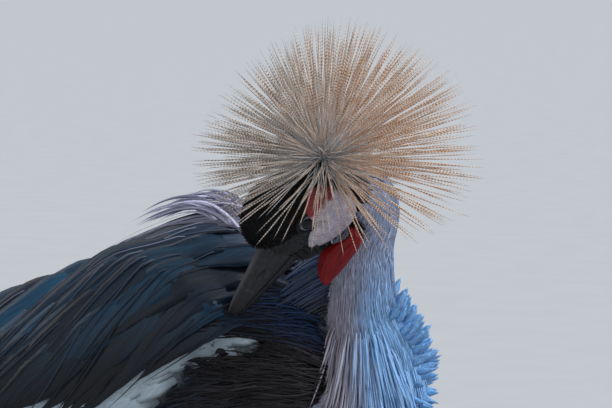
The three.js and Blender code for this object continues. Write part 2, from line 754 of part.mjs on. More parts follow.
function claw(side, each) {
  const { end, way } = toe(side, each, true);
  const root = end.clone().addScaledVector(way, GAP);
  const rings = spread(4, 0, 0.8).map((t) => {
    const centre = root.clone().addScaledVector(way, CLAW.length * t);
    centre.z = mix(end.z + 1.2, 1.6, t * t);
    const size = CLAW.radius * (1 - 0.75 * t);
    const beside = V(-way.y, way.x, 0);
    return turnsOf(6).map((a) =>
      centre
        .clone()
        .addScaledVector(beside, size * Math.cos(a))
        .add(V(0, 0, Math.max(size * Math.sin(a), 0.05 - centre.z))),
    );
  });
  return skin([...rings, [root.clone().addScaledVector(way, CLAW.length).setZ(0.6)]]);
}

// Assembly: each piece is cut clear of what it grows from
add("torso", torso, slate);
wing(LEFT, "left");
wing(RIGHT, "right");
add("tail", tail().subtract(trunkClear), soot);

const neckLower = fused([neckLength(0, NECK_CUTS[0], 9), ...hackles()]);
const neckUpper = neckLength(NECK_CUTS[1], 1, 6);
add("neck_lower", neckLower.subtract(trunkClear), pearl);
add("neck_middle", neckLength(NECK_CUTS[0], NECK_CUTS[1], 5).subtract(trunkClear), pearl);
const cheekClear = skullSolid(1.5 + GAP).transform(headMatrix.elements);
add("neck_upper", neckUpper.subtract(cheekClear), pearl);

crane.add(head);
const sockets = eyes.map((centre) => ball(centre, V(1, 1, 1).multiplyScalar(eyeBall.radius + GAP), 14, 10));
const cleared = [LEFT, RIGHT].reduce(
  (made, side, i) => fused([made, lids(eyes[i], side)]).subtract(sockets[i]),
  skullSolid(),
);
add("head", cleared, velvet, head);
eyes.forEach((centre, i) => {
  const radii = V(1, 1, 1).multiplyScalar(eyeBall.radius);
  add(i === 0 ? "eye_left" : "eye_right", ball(centre, radii, 14, 10), eyeGrey, head);
});
add("bill_upper", upperBill(), billGrey, head);
add("bill_lower", mandible(false).subtract(billClear), billGrey, head);
add("cheek_left", cheek(LEFT), bareCheek, head);
add("cheek_right", cheek(RIGHT), bareCheek, head);
add("crown", crownSolid().subtract(headClear), straw, head);
add("wattle", wattle().subtract(cheekClear).subtract(neckLength(NECK_CUTS[1], 1, 6, GAP)), wattleRed);

for (const [side, label] of [[LEFT, "left"], [RIGHT, "right"]]) {
  add(`thigh_${label}`, thigh(side).subtract(trunkClear), slate);
  const joint = hockSolid(side, GAP);
  add(`shank_${label}`, shank(side).subtract(thigh(side, GAP)).subtract(joint), legBlack);
  add(`hock_${label}`, hockSolid(side), legBlack);
  add(`tarsus_${label}`, tarsus(side).subtract(joint), legBlack);
  add(`foot_${label}`, foot(side).subtract(tarsus(side, GAP)), legBlack);
  for (const each of toes) add(`claw_${label}_${each.name}`, claw(side, each), clawBlack);
}

// The finished bird stands with the middle of its outline over the origin
const stand = new THREE.Group();
const outline = new THREE.Box3().setFromObject(crane, true);
const middle = outline.getCenter(V(0, 0, 0));
crane.position.set(-middle.x, -middle.y, -outline.min.z);
stand.add(crane);

export default stand;
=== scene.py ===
"""The looks of a life-size grey crowned crane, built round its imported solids.

Shapes are worked out in millimetres in the bird's own frame: X forward, Y to its left, Z up.
place() turns them into the frame's metres.
"""

import math

import bpy
import numpy as np
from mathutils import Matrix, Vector


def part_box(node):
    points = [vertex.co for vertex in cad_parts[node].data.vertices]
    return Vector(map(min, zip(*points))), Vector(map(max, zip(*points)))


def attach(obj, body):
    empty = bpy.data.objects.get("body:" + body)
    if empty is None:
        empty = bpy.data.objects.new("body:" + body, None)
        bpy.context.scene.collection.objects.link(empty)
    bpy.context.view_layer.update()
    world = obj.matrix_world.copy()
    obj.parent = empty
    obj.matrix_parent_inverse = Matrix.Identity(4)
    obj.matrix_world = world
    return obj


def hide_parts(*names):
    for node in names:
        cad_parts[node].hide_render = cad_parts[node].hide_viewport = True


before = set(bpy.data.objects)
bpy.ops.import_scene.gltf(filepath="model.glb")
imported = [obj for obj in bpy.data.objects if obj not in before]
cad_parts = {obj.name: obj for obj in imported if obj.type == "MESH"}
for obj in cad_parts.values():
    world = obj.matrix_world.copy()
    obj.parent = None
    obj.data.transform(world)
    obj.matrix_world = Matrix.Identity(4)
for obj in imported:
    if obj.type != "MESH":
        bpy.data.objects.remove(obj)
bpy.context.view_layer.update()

# Driving sizes of the body. Trunk, folded wings, neck radius and skull have the numbers of the part's source.
# The neck's line lies up to 2.6 mm from the source's, and bill, cheek, wattle and patch have their own.

TRUNK_REAR, TRUNK_FRONT = -200, 146
TRUNK_MIDDLE = [
    (-200, 434), (-150, 444), (-100, 460), (-50, 478), (0, 493), (50, 504), (100, 497), (146, 480),
]
TRUNK_WIDTH = [
    (-200, 12), (-150, 46), (-100, 64), (-50, 74), (0, 76), (50, 69), (100, 54), (130, 38), (146, 12),
]
TRUNK_ABOVE = [
    (-200, 10), (-150, 37), (-100, 56), (-50, 70), (0, 83), (50, 84), (100, 75), (130, 56), (146, 14),
]
TRUNK_BELOW = [
    (-200, 10), (-150, 36), (-100, 54), (-50, 72), (0, 86), (50, 85), (100, 70), (130, 46), (146, 12),
]
FOLD_MIDDLE = [
    (-400, 370), (-300, 402), (-250, 419), (-200, 436), (-150, 451), (-100, 463), (-50, 478), (0, 493),
    (50, 504),
]
FOLD_WIDTH = [
    (-400, 27), (-300, 40), (-250, 48), (-200, 56), (-150, 63), (-100, 69), (-50, 74), (0, 76), (50, 69),
]
FOLD_DEPTH = [
    (-400, 10), (-300, 19), (-250, 26), (-200, 34), (-150, 45), (-100, 58), (-50, 70), (0, 83), (50, 84),
]
NECK_PATH = [
    (96, 0, 468), (128, -1, 458), (147.5, -5.4, 488), (146.5, -18.7, 532), (152.5, -36.7, 572),
    (163.5, -56.4, 599), (163, -74, 612), (152, -87, 613),
]
NECK_RADIUS = [(0, 40), (0.12, 44), (0.3, 38.5), (0.48, 27), (0.68, 22), (0.85, 19), (1, 15)]
WING_UPPER = [(-96, 27), (-60, 34), (0, 42), (60, 68), (90, 82)]
WING_LOWER = [(-96, 102), (-60, 108), (0, 114), (60, 110), (90, 92)]
COVERT_UPPER = [(-96, 27), (-60, 34), (0, 42), (60, 62), (96, 76)]
PATCH_EDGE = [
    (0, 114), (20, 110), (32, 106), (35, 104.5), (44, 99.5), (47, 94.6), (58, 92.2), (66, 90.4),
    (74, 89.4), (80, 87.5), (87, 84), (92, 79),
]
PATCH_TOP = [
    (-220, 86), (-150, 90), (-96, 95), (-50, 101), (-20, 105), (7, 102.5), (14, 97.5), (22, 93.5),
    (29, 86.5), (43, 83), (58, 82.5), (73, 81), (82, 79.5), (90, 78.5),
]

HEAD_PLACE = np.array((127.0, -91.0, 600.0))
HEAD_FORWARD = (-0.599, 0.222, -0.769)
HEAD_UP = (-0.61, -0.749, 0.258)
SKULL_REAR, SKULL_FRONT = -44, 36
SKULL_WIDTH = [(-44, 3), (-38, 14), (-24, 20), (-6, 21), (12, 18.5), (26, 13), (36, 8.5)]
SKULL_ABOVE = [(-44, 3), (-38, 15), (-24, 24), (-6, 27), (12, 22), (26, 14), (36, 8)]
SKULL_BELOW = [(-44, 3), (-38, 16), (-24, 28), (-6, 31), (12, 27), (26, 19), (36, 15)]
CUSHION_CENTRE = np.array((8.0, 0.0, 17.5))
CUSHION_RADII = np.array((26.5, 20.5, 17.5))
EYE = np.array((-2.0, 15.0, 6.0))
EYE_RADIUS = 7.0
EYE_WAY = (-0.14, 1.0, 0.1)

BILL_BASE, BILL_TIP = 30, 97
BILL_RIDGE = [(30, 11), (40, 10), (57, 7.2), (74, 4.8), (84, 2.6), (91, -0.4), (97, -4.4)]
BILL_GAPE = [(30, -7.2), (57, -6.4), (80, -5.2), (97, -5.8)]
BILL_KEEL = [(30, -17.6), (39, -16.8), (55, -13.6), (68, -12), (80, -10), (90, -8.2), (97, -6.8)]
BILL_WIDTH = [(30, 10), (40, 9), (60, 6.6), (80, 4.1), (97, 1)]
MOUTH_GAP = 0.6
CHEEK_OUTLINE = [
    (1, -1.5), (6.5, -1), (11, -4.5), (17, -11), (12.5, -19.5), (4, -25), (-5, -28), (-14, -27),
    (-24, -19), (-30, -3), (-30, 8), (-25, 15), (-15, 15), (-9.5, 12), (-6.5, 6), (-4.5, 1.5),
]
CHEEK_MIDDLE = (-12, -5)
WATTLE_ROOT = (-3, 2, -25)
WATTLE_LEVELS = [
    (7, 12, 2, 2), (12.5, 13.6, 4.6, 4.2), (15.1, 11.4, 6.8, 4.6), (17.5, 7.8, 9.8, 5), (20, 4, 12, 5.2),
    (22.5, 1.2, 12.9, 5.2), (25, -0.6, 12.4, 5), (27.5, -2.1, 11.6, 4.7), (30.6, -3.8, 10.6, 4.3),
    (33.7, -5.5, 9.3, 3.8), (36.8, -6.8, 7.6, 3.2), (39.9, -8, 5.3, 2.6), (42.3, -8.4, 3.4, 1.9),
    (44.4, -8.4, 0.8, 0.6),
]
CROWN_ROOT = np.array((-39.0, 0.0, 9.0))
CROWN_AXIS = (-0.78, 0, 0.62)
CROWN_SPREAD = 99
CROWN_REACH = 98

STANCE = 36
FOOT_OUT = 9
THIGH_TOP, THIGH_END = (34, 0, 452), (-6, 0, 322)
THIGH_LENGTH = 136
HOCK, ANKLE = (-27, 0, 226), (6, 0, 14)
TOE_RADIUS, TOE_FLAT = 4.6, 0.9
TOES = {"middle": (0, 78, 3), "inner": (-33, 58, 2), "outer": (35, 64, 3), "hind": (166, 27, 1)}

# The camera of the photograph, and the light

VIEW_AIM = (133.1, -104.9, 603.8)
VIEW_TURN, VIEW_RISE = 15.0, 4.0
VIEW_DISTANCE = 2200.0
VIEW_WIDTH = 379.4
SENSOR = 36

KEY_POWER, KEY_SPREAD, KEY_COLOUR = 2.8, 22, (0.93, 0.96, 1.0)
FILL_POWER, FILL_SPREAD, FILL_COLOUR = 0.55, 70, (1.0, 0.97, 0.95)
SKY_COLOUR, SKY_POWER = (0.80, 0.87, 0.96, 1), 0.38
FLOOR_REACH = 150.0

# How the pieces are made

MM = 0.001
LEFT, RIGHT = 1, -1
SIDES = ((LEFT, "left"), (RIGHT, "right"))
SKIN_VOXEL, SKIN_ROUNDS = 2.4, 8
LEG_VOXEL, LEG_ROUNDS = 0.95, 2
SECONDARIES, PRIMARIES = 11, 6
BODY_RANGE, ROUND_RANGE, HEAD_RANGE = (-200, 150), (-180, 180), (-46, 38)
BAKE_PATCH = 0.003
FULL_SPIN = 6.28
BREAST_STRANDS, LOOSE_PLUMES, RIDGE_PLUMES = 3400, 130, 34
NECK_PLUMES, RUFF_PLUMES, COLLAR_PLUMES, TUFT_PLUMES = 25000, 2300, 1500, 84
THIGH_FEATHERS, TAIL_COVERTS = 700, 420
VELVET_TUFTS, THROAT_PLUMES = 15000, 4200
CROWN_LONG, CROWN_SHORT = 940, 260


# Numbers and small vector helpers


def through(knots):
    """A smooth curve through a few (place, value) knots, held level beyond its ends."""
    xs, ys = np.array(knots, float).T
    last = len(xs) - 1
    low, high = np.maximum(np.arange(last + 1) - 1, 0), np.minimum(np.arange(last + 1) + 1, last)
    slopes = (ys[high] - ys[low]) / (xs[high] - xs[low])

    def value(x):
        x = np.asarray(x, float)
        i = np.clip(np.searchsorted(xs, x) - 1, 0, last - 1)
        span = xs[i + 1] - xs[i]
        t = np.clip((x - xs[i]) / span, 0, 1)
        body = (1 + 2 * t) * (1 - t) ** 2 * ys[i] + t * t * (3 - 2 * t) * ys[i + 1]
        return body + span * (t * (1 - t) ** 2 * slopes[i] - t * t * (1 - t) * slopes[i + 1])

    return value


def smooth(x, start, end):
    t = np.clip((np.asarray(x, float) - start) / (end - start), 0, 1)
    return t * t * (3 - 2 * t)


def mix(a, b, t):
    return a + (b - a) * t


def unit(v):
    v = np.asarray(v, float)
    return v / np.maximum(np.linalg.norm(v, axis=-1, keepdims=True), 1e-9)


trunk_middle, trunk_width = through(TRUNK_MIDDLE), through(TRUNK_WIDTH)
trunk_above, trunk_below = through(TRUNK_ABOVE), through(TRUNK_BELOW)
fold_middle, fold_width, fold_depth = through(FOLD_MIDDLE), through(FOLD_WIDTH), through(FOLD_DEPTH)
wing_upper = through(WING_UPPER)
wing_lower = through(WING_LOWER)
covert_upper = through(COVERT_UPPER)
patch_low = through(PATCH_EDGE)
patch_top = through(PATCH_TOP)
PATCH_HIGH, PATCH_LOW = 77, 114
PATCH_STOPS, PATCH_TURNS = (np.array(row[::-1], float) for row in zip(*PATCH_EDGE))
skull_width, skull_above, skull_below = through(SKULL_WIDTH), through(SKULL_ABOVE), through(SKULL_BELOW)
bill_ridge, bill_gape = through(BILL_RIDGE), through(BILL_GAPE)
bill_keel, bill_width = through(BILL_KEEL), through(BILL_WIDTH)

# The head's own axes, and the shift from the bird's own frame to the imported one, which the eyes give

head_forward = unit(HEAD_FORWARD)
head_left = unit(np.cross(HEAD_UP, HEAD_FORWARD))
head_up = np.cross(head_forward, head_left)
HEAD_AXES = np.array((head_forward, head_left, head_up))


def from_head(points):
    return HEAD_PLACE + np.asarray(points, float) @ HEAD_AXES


def to_head(points):
    return (np.asarray(points, float) - HEAD_PLACE) @ HEAD_AXES.T


def node_middle(name):
    low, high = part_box(name)
    return np.array((low + high) / 2) / MM


SHIFT = (node_middle("eye_left") + node_middle("eye_right")) / 2 - from_head((EYE[0], 0, EYE[2]))


def place(points):
    return (np.asarray(points, float) + SHIFT) * MM


# Surfaces, each by two coordinates and a lift off it. turn is 0 on the back and 90 on the bird's left side.


def trunk_point(x, turn, lift):
    a = np.radians(turn)
    tall = np.where(np.cos(a) > 0, trunk_above(x), trunk_below(x))
    return np.stack([
        x + 0 * a, (trunk_width(x) + lift) * np.sin(a), trunk_middle(x) + (tall + lift) * np.cos(a)
    ], -1)


def fold_point(x, turn, lift):
    a = np.radians(turn)
    belly = mix(fold_depth(x), trunk_below(np.maximum(x, TRUNK_REAR)), mix(0.5, 1, smooth(x, -110, -20)))
    tall = np.where(np.cos(a) > 0, fold_depth(x), belly)
    folded = np.stack([
        x + 0 * a, (fold_width(x) + lift) * np.sin(a), fold_middle(x) + (tall + lift) * np.cos(a)
    ], -1)
    return np.where((x > 0)[..., None], trunk_point(x, turn, lift), folded)


def spline(points, fine=401):
    """Places evenly spaced along a centripetal curve through points, and its length."""
    p = np.array(points, float)
    p = np.vstack([2 * p[0] - p[1], p, 2 * p[-1] - p[-2]])
    out = []
    for i in range(1, len(p) - 2):
        d = [max(np.linalg.norm(p[i + k] - p[i + k - 1]) ** 0.5, 1e-6) for k in (0, 1, 2)]
        m1 = (p[i] - p[i - 1]) / d[0] - (p[i + 1] - p[i - 1]) / (d[0] + d[1]) + (p[i + 1] - p[i]) / d[1]
        m2 = (p[i + 1] - p[i]) / d[1] - (p[i + 2] - p[i]) / (d[1] + d[2]) + (p[i + 2] - p[i + 1]) / d[2]
        t = np.linspace(0, 1, 80, endpoint=i == len(p) - 3)[:, None]
        h = [2 * t**3 - 3 * t**2 + 1, t**3 - 2 * t**2 + t, -2 * t**3 + 3 * t**2, t**3 - t**2]
        out.append(h[0] * p[i] + h[1] * d[1] * m1 + h[2] * p[i + 1] + h[3] * d[1] * m2)
    line = np.vstack(out)
    run = np.concatenate([[0], np.cumsum(np.linalg.norm(np.diff(line, axis=0), axis=1))])
    at = np.linspace(0, run[-1], fine)
    return np.stack([np.interp(at, run, line[:, k]) for k in range(3)], -1), run[-1]


neck_line, NECK_LENGTH = spline(NECK_PATH)
neck_along = unit(np.gradient(neck_line, axis=0))
neck_across = unit(np.array((-0.45, 0.9, 0)) - neck_along * (neck_along @ np.array((-0.45, 0.9, 0)))[:, None])
neck_other = np.cross(neck_along, neck_across)
neck_radius = through(NECK_RADIUS)


def along_table(table, share):
    at = np.clip(share, 0, 1) * (len(table) - 1)
    return np.stack([np.interp(at, np.arange(len(table)), table[:, k]) for k in range(table.shape[1])], -1)


def neck_point(share, turn, lift):
    """share runs from the chest, 0, to the skull, 1."""
    share = np.asarray(share, float)
    flat = share.ravel()
    centre, across, other = (
        along_table(table, flat).reshape(*share.shape, 3) for table in (neck_line, neck_across, neck_other)
    )
    a = np.radians(turn)[..., None]
    size = (neck_radius(share) + lift)[..., None]
    return centre + size * (np.cos(a) * across + np.sin(a) * other)


def skull_side(x, z, grow):
    """How far the side of the head lies from its middle plane at x forward and z up."""
    tall = np.where(z > 0, skull_above(x), skull_below(x)) + grow
    rise = np.clip(z / tall, -0.999, 0.999)
    pinch = np.where(z > 0, 1, 1 - 0.25 * rise**2)
    skull = (skull_width(x) + grow) * pinch * np.sqrt(1 - rise**2)
    fore = (x - CUSHION_CENTRE[0]) / (CUSHION_RADII[0] + grow)
    rise = (z - CUSHION_CENTRE[2]) / (CUSHION_RADII[2] + grow)
    dome = (CUSHION_RADII[1] + grow) * np.sqrt(np.clip(1 - fore**2 - rise**2, 0, 1))
    return np.maximum(skull, dome)


def cheek_side(x, z, grow):
    """The side of the head where the bare cheek hangs a little from it as a jowl."""
    level = np.where(z < -5, -5 + (z + 5) * 0.72, z)
    return skull_side(x, level, grow)


# Meshes


def new_object(name, data):
    made = bpy.data.objects.new(name, data)
    bpy.context.scene.collection.objects.link(made)
    return made


def shade_smooth(mesh):
    mesh.polygons.foreach_set("use_smooth", np.ones(len(mesh.polygons), bool))


def mesh_object(name, points, triangles, material=None):
    """A mesh object from points in metres and an array of triangles."""
    mesh = bpy.data.meshes.new(name)
    points = np.ascontiguousarray(points, np.float32).reshape(-1, 3)
    triangles = np.ascontiguousarray(triangles, np.int32).reshape(-1, 3)
    mesh.vertices.add(len(points))
    mesh.vertices.foreach_set("co", points.ravel())
    mesh.loops.add(triangles.size)
    mesh.loops.foreach_set("vertex_index", triangles.ravel())
    mesh.polygons.add(len(triangles))
    mesh.polygons.foreach_set("loop_start", np.arange(0, triangles.size, 3, dtype=np.int32))
    shade_smooth(mesh)
    mesh.update(calc_edges=True)
    if material:
        mesh.materials.append(material)
    return new_object(name, mesh)


def finish_piece(made, slot, *nodes):
    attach(made, "root")
    if nodes:
        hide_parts(*nodes)


def set_floats(mesh, name, values, kind="FLOAT", domain="POINT"):
    attribute = mesh.attributes.new(name, kind, domain)
    key = {"FLOAT": "value", "FLOAT_COLOR": "color", "FLOAT_VECTOR": "vector", "FLOAT2": "vector"}[kind]
    attribute.data.foreach_set(key, np.ascontiguousarray(values, np.float32).ravel())


def opaque(shade):
    return np.hstack([shade, np.ones((len(shade), 1))])


def set_tint(mesh, shade):
    set_floats(mesh, "tint", opaque(shade), "FLOAT_COLOR")


def set_uv(mesh, name, per_vertex):
    corners = np.empty(len(mesh.loops), np.int32)
    mesh.loops.foreach_get("vertex_index", corners)
    layer = mesh.uv_layers.new(name=name)
    layer.uv.foreach_set("vector", np.ascontiguousarray(per_vertex[corners], np.float32).ravel())


def loft(rings):
    """Closed triangles over an array of rings (count, around, 3), each end drawn to its middle."""
    count, around, _ = rings.shape
    points = np.vstack([rings[0].mean(0), rings.reshape(-1, 3), rings[-1].mean(0)])
    return points, tube_faces(count, around)


def tube_faces(count, around):
    """Triangles of a tube of rings between a first point and a last one, turned outwards for rings that run
    round the way forward by the right hand."""
    k = np.arange(around)
    after = (k + 1) % around
    end = 1 + count * around
    faces = [np.stack([0 * k, 1 + after, 1 + k], -1)]
    for r in range(count - 1):
        a, b = 1 + r * around, 1 + (r + 1) * around
        faces.append(np.stack([a + k, a + after, b + after], -1))
        faces.append(np.stack([a + k, b + after, b + k], -1))
    last = 1 + (count - 1) * around
    faces.append(np.stack([last + k, last + after, 0 * k + end], -1))
    return np.vstack(faces)


def outward(points, faces):
    """The same faces, turned so that the closed mesh has a volume above nought."""
    a, b, c = (points[faces[:, i]] for i in range(3))
    return faces if np.einsum("ij,ij->i", a, np.cross(b, c)).sum() > 0 else faces[:, ::-1]


def joined(parts):
    points, faces, start = [], [], 0
    for p, f in parts:
        points.append(p)
        faces.append(outward(p, f) + start)
        start += len(p)
    return np.vstack(points), np.vstack(faces)


def evaluated(source, name):
    """source with its modifiers, as a plain mesh object; source is removed."""
    graph = bpy.context.evaluated_depsgraph_get()
    mesh = bpy.data.meshes.new_from_object(
        source.evaluated_get(graph), preserve_all_data_layers=True, depsgraph=graph
    )
    made = new_object(name, mesh)
    bpy.data.objects.remove(source)
    mesh.name = name
    return made


def melted(name, parts, voxel, rounds):
    """Closed parts, cut level with the floor and melted into one skin by a remesh at voxel millimetres."""
    points, faces = joined(parts)
    points[:, 2] = np.maximum(points[:, 2], 0.0)
    source = mesh_object(name + "_parts", place(points), faces)
    remesh = source.modifiers.new("melt", "REMESH")
    remesh.mode = "VOXEL"
    remesh.voxel_size = voxel * MM
    relax = source.modifiers.new("relax", "SMOOTH")
    relax.factor = 0.5
    relax.iterations = rounds
    made = evaluated(source, name)
    shade_smooth(made.data)
    return made


# Feathers. A feather is a closed blade over a line of places; its section is a ring of (across, up) points.

STRAND = [(-1, 0), (0, 1), (1, 0)]
BLADE = [(-1, 0), (0, 1), (1, 0), (0, -1)]
BROAD = [(-1, 0), (-0.55, 0.8), (0, 1.5), (0.55, 0.8), (1, 0), (0.55, -0.8), (0, -1), (-0.55, -0.8)]


def feathers(name, centre, normal, half, tint, root, material, thick=0.5, cup=0.12, section=BLADE):
    """One mesh of many blades. centre and normal are (count, steps, 3). half is (count, steps) or, for uneven
    sides, (count, steps, 2). tint is (count, 3) or (count, steps, 3). root is (count, 2): each root's place
    on an unwrap of the skin, from 0 to 1."""
    count, steps, _ = centre.shape
    along = unit(np.gradient(centre, axis=1))
    side = unit(np.cross(along, normal))
    up = np.cross(side, along)
    across, rise = np.array(section, float).T
    half = half[..., None].repeat(2, -1) if half.ndim == 2 else half
    reach = np.where(across[None, None, :] < 0, half[..., :1], half[..., 1:]) * across
    mean_half = half.mean(-1, keepdims=True)
    body = rise * thick / 2 * np.clip(mean_half / mean_half.max(), 0.25, 1)
    height = body - cup * np.abs(across) ** 1.6 * mean_half
    ring = centre[:, :, None] + side[:, :, None] * reach[..., None] + up[:, :, None] * height[..., None]
    sides = len(section)
    inner = ring[:, 1:-1].reshape(count, -1, 3)
    points = np.concatenate([centre[:, :1], inner, centre[:, -1:]], 1)
    one = tube_faces(steps - 2, sides)
    per = points.shape[1]
    faces = (one[None] + (np.arange(count) * per)[:, None, None]).reshape(-1, 3)
    made = mesh_object(name, place(points.reshape(-1, 3)), faces, material)

    t = np.linspace(0, 1, steps)
    u = np.concatenate([[0.5], np.tile(0.5 + 0.5 * across, steps - 2), [0.5]])
    v = np.concatenate([[0], np.repeat(t[1:-1], sides), [1]])
    vane = np.stack([u, v], -1)
    bake = root[:, None] + BAKE_PATCH * (vane[None] - 0.5)
    set_uv(made.data, "vane", np.tile(vane, (count, 1)))
    set_uv(made.data, "OFBake", bake.reshape(-1, 2))
    shade = tint[:, None].repeat(steps, 1) if tint.ndim == 2 else tint
    shade = np.concatenate([shade[:, :1], shade[:, 1:-1].repeat(sides, 1), shade[:, -1:]], 1).reshape(-1, 3)
    set_tint(made.data, shade)
    seed = np.random.default_rng(count).uniform(0, 1, count).repeat(per)
    set_floats(made.data, "seed", seed)
    return made


def along_steps(steps):
    """Even shares from a feather's root to its tip, as one row."""
    return np.linspace(0, 1, steps)[None]


def on_surface(surface, a, b, lift):
    """Places over a surface, and the ways square to it there."""
    places = surface(a, b, lift)
    return places, unit(surface(a, b, lift + 1) - places)


def bake_root(a, a_range, b, b_range):
    """Places on an unwrap of the skin by its own two coordinates, inside the unit square."""
    u = (np.asarray(a, float) - a_range[0]) / (a_range[1] - a_range[0])
    v = (np.asarray(b, float) - b_range[0]) / (b_range[1] - b_range[0])
    return np.stack([0.01 + 0.98 * np.clip(u, 0, 1), 0.01 + 0.98 * np.clip(v, 0, 1)], -1)


def body_root(x, turn):
    return bake_root(x, BODY_RANGE, turn, ROUND_RANGE)


def head_root(q):
    return bake_root(np.degrees(np.arctan2(q[:, 1], q[:, 2])), ROUND_RANGE, q[:, 0], HEAD_RANGE)


def scattered(rng, values, spread):
    return values * (1 + spread * rng.uniform(-1, 1, np.shape(values)))


def linear(red, green, blue):
    """A colour given as it looks, 0 to 255, in the renderer's own numbers."""
    c = np.array((red, green, blue), float) / 255
    return np.where(c < 0.04045, c / 12.92, ((c + 0.055) / 1.055) ** 2.4)


SLATE = linear(22, 32, 46)
# Blue-green of the back feathers' sheen: painted reflection.
TEAL_SHEEN = linear(20, 70, 98)
# Lavender of the lit top of the back: painted highlight.
SLATE_HIGHLIGHT = linear(150, 148, 168)
BREAST = linear(25, 23, 26)
BREAST_BLUE = linear(30, 68, 118)
BELLY = linear(104, 110, 122)
NECK_MAUVE = linear(158, 152, 166)
# Sky-blue of the neck's lit side: painted light.
NECK_LIT_BLUE = linear(120, 172, 222)
NECK_PALE = linear(178, 184, 212)
# Sky-blue of the lit ruff: painted light.
RUFF_LIT_BLUE = linear(102, 158, 208)
# White of the coverts, greyed to pale grey-blue: painted shade.
COVERT_IN_SHADE = linear(158, 174, 184)
STRAW = linear(190, 150, 92)
MAROON = linear(62, 32, 28)
SOOT = linear(26, 26, 31)
VELVET = linear(12, 12, 14)
LORES = linear(66, 64, 69)


# Materials


class NodeMaker:
    """Adds nodes to self.tree, each with its settings, and with its inputs linked or set."""

    def node(self, kind, inputs=None, **settings):
        made = self.tree.nodes.new(kind)
        for key, value in settings.items():
            setattr(made, key, value)
        for key, value in (inputs or {}).items():
            if isinstance(value, bpy.types.NodeSocket):
                self.tree.links.new(value, made.inputs[key])
            else:
                made.inputs[key].default_value = value
        return made


class Finish(NodeMaker):
    """A material under construction: adds nodes and joins them to one shader."""

    def __init__(self, name, roughness=0.5, **uniform):
        self.material = bpy.data.materials.new(name)
        self.material.use_nodes = True
        self.tree = self.material.node_tree
        self.tree.nodes.clear()
        self.shader = self.node("ShaderNodeBsdfPrincipled")
        output = self.node("ShaderNodeOutputMaterial")
        self.tree.links.new(self.shader.outputs["BSDF"], output.inputs["Surface"])
        self.shader.inputs["Roughness"].default_value = roughness
        for socket, value in uniform.items():
            self.shader.inputs[socket.replace("_", " ")].default_value = value

    def math(self, operation, a, b=0.0):
        return self.node("ShaderNodeMath", {0: a, 1: b}, operation=operation).outputs[0]

    def times(self, a, b):
        return self.math("MULTIPLY", a, b)

    def ramp(self, value, low, high, out_low=0.0, out_high=1.0):
        made = self.node(
            "ShaderNodeMapRange",
            {"Value": value, "From Min": low, "From Max": high, "To Min": out_low, "To Max": out_high},
            interpolation_type="SMOOTHSTEP",
        )
        return made.outputs[0]

    def blend(self, factor, a, b, kind="MIX"):
        made = self.node("ShaderNodeMix", {0: factor}, data_type="RGBA", blend_type=kind)
        for index, value in ((6, a), (7, b)):
            if isinstance(value, bpy.types.NodeSocket):
                self.tree.links.new(value, made.inputs[index])
            else:
                made.inputs[index].default_value = (*value[:3], 1)
        return made.outputs[2]

    def scaled(self, base, factor):
        return self.blend(1.0, base, (factor,) * 3, "MULTIPLY")

    def streaked(self, base, field, streak):
        """base, darker by streak where field is low and lighter where it is high."""
        dark, light = self.scaled(base, 1 - streak), self.scaled(base, 1 + streak)
        return self.blend(self.ramp(field, 0.3, 0.7), dark, light)

    def value(self, name):
        return self.node("ShaderNodeAttribute", attribute_name=name).outputs["Fac"]

    def unwrap(self, name):
        """The two coordinates of a UV map."""
        uv = self.node("ShaderNodeUVMap", uv_map=name).outputs[0]
        parts = self.node("ShaderNodeSeparateXYZ", {0: uv})
        return parts.outputs[0], parts.outputs[1]

    def noise(self, vector, scale, detail=3.0, rough=0.55, distortion=0.0):
        made = self.node(
            "ShaderNodeTexNoise",
            {
                "Vector": vector, "Scale": scale, "Detail": detail, "Roughness": rough,
                "Distortion": distortion,
            },
        )
        return made.outputs["Fac"]

    def vector(self, x, y, z):
        return self.node("ShaderNodeCombineXYZ", {0: x, 1: y, 2: z}).outputs[0]

    def colour(self, value):
        self.tree.links.new(value, self.shader.inputs["Base Color"])

    def rough(self, value):
        self.tree.links.new(value, self.shader.inputs["Roughness"])

    def bump(self, height, distance, strength=1.0):
        made = self.node("ShaderNodeBump", {"Height": height, "Distance": distance, "Strength": strength})
        self.tree.links.new(made.outputs[0], self.shader.inputs["Normal"])

    def place(self):
        return self.node("ShaderNodeTexCoord").outputs["Object"]

    def vane(self):
        """Side to side, 0 to 1; away from the shaft, 0 to 1; along the feather, 0 to 1; and its own seed."""
        u, along = self.unwrap("vane")
        away = self.math("ABSOLUTE", self.math("SUBTRACT", u, 0.5))
        across = self.times(away, 2.0)
        seed = self.value("seed")
        return u, across, along, seed

    def tint(self):
        return self.node("ShaderNodeAttribute", attribute_name="tint").outputs["Color"]


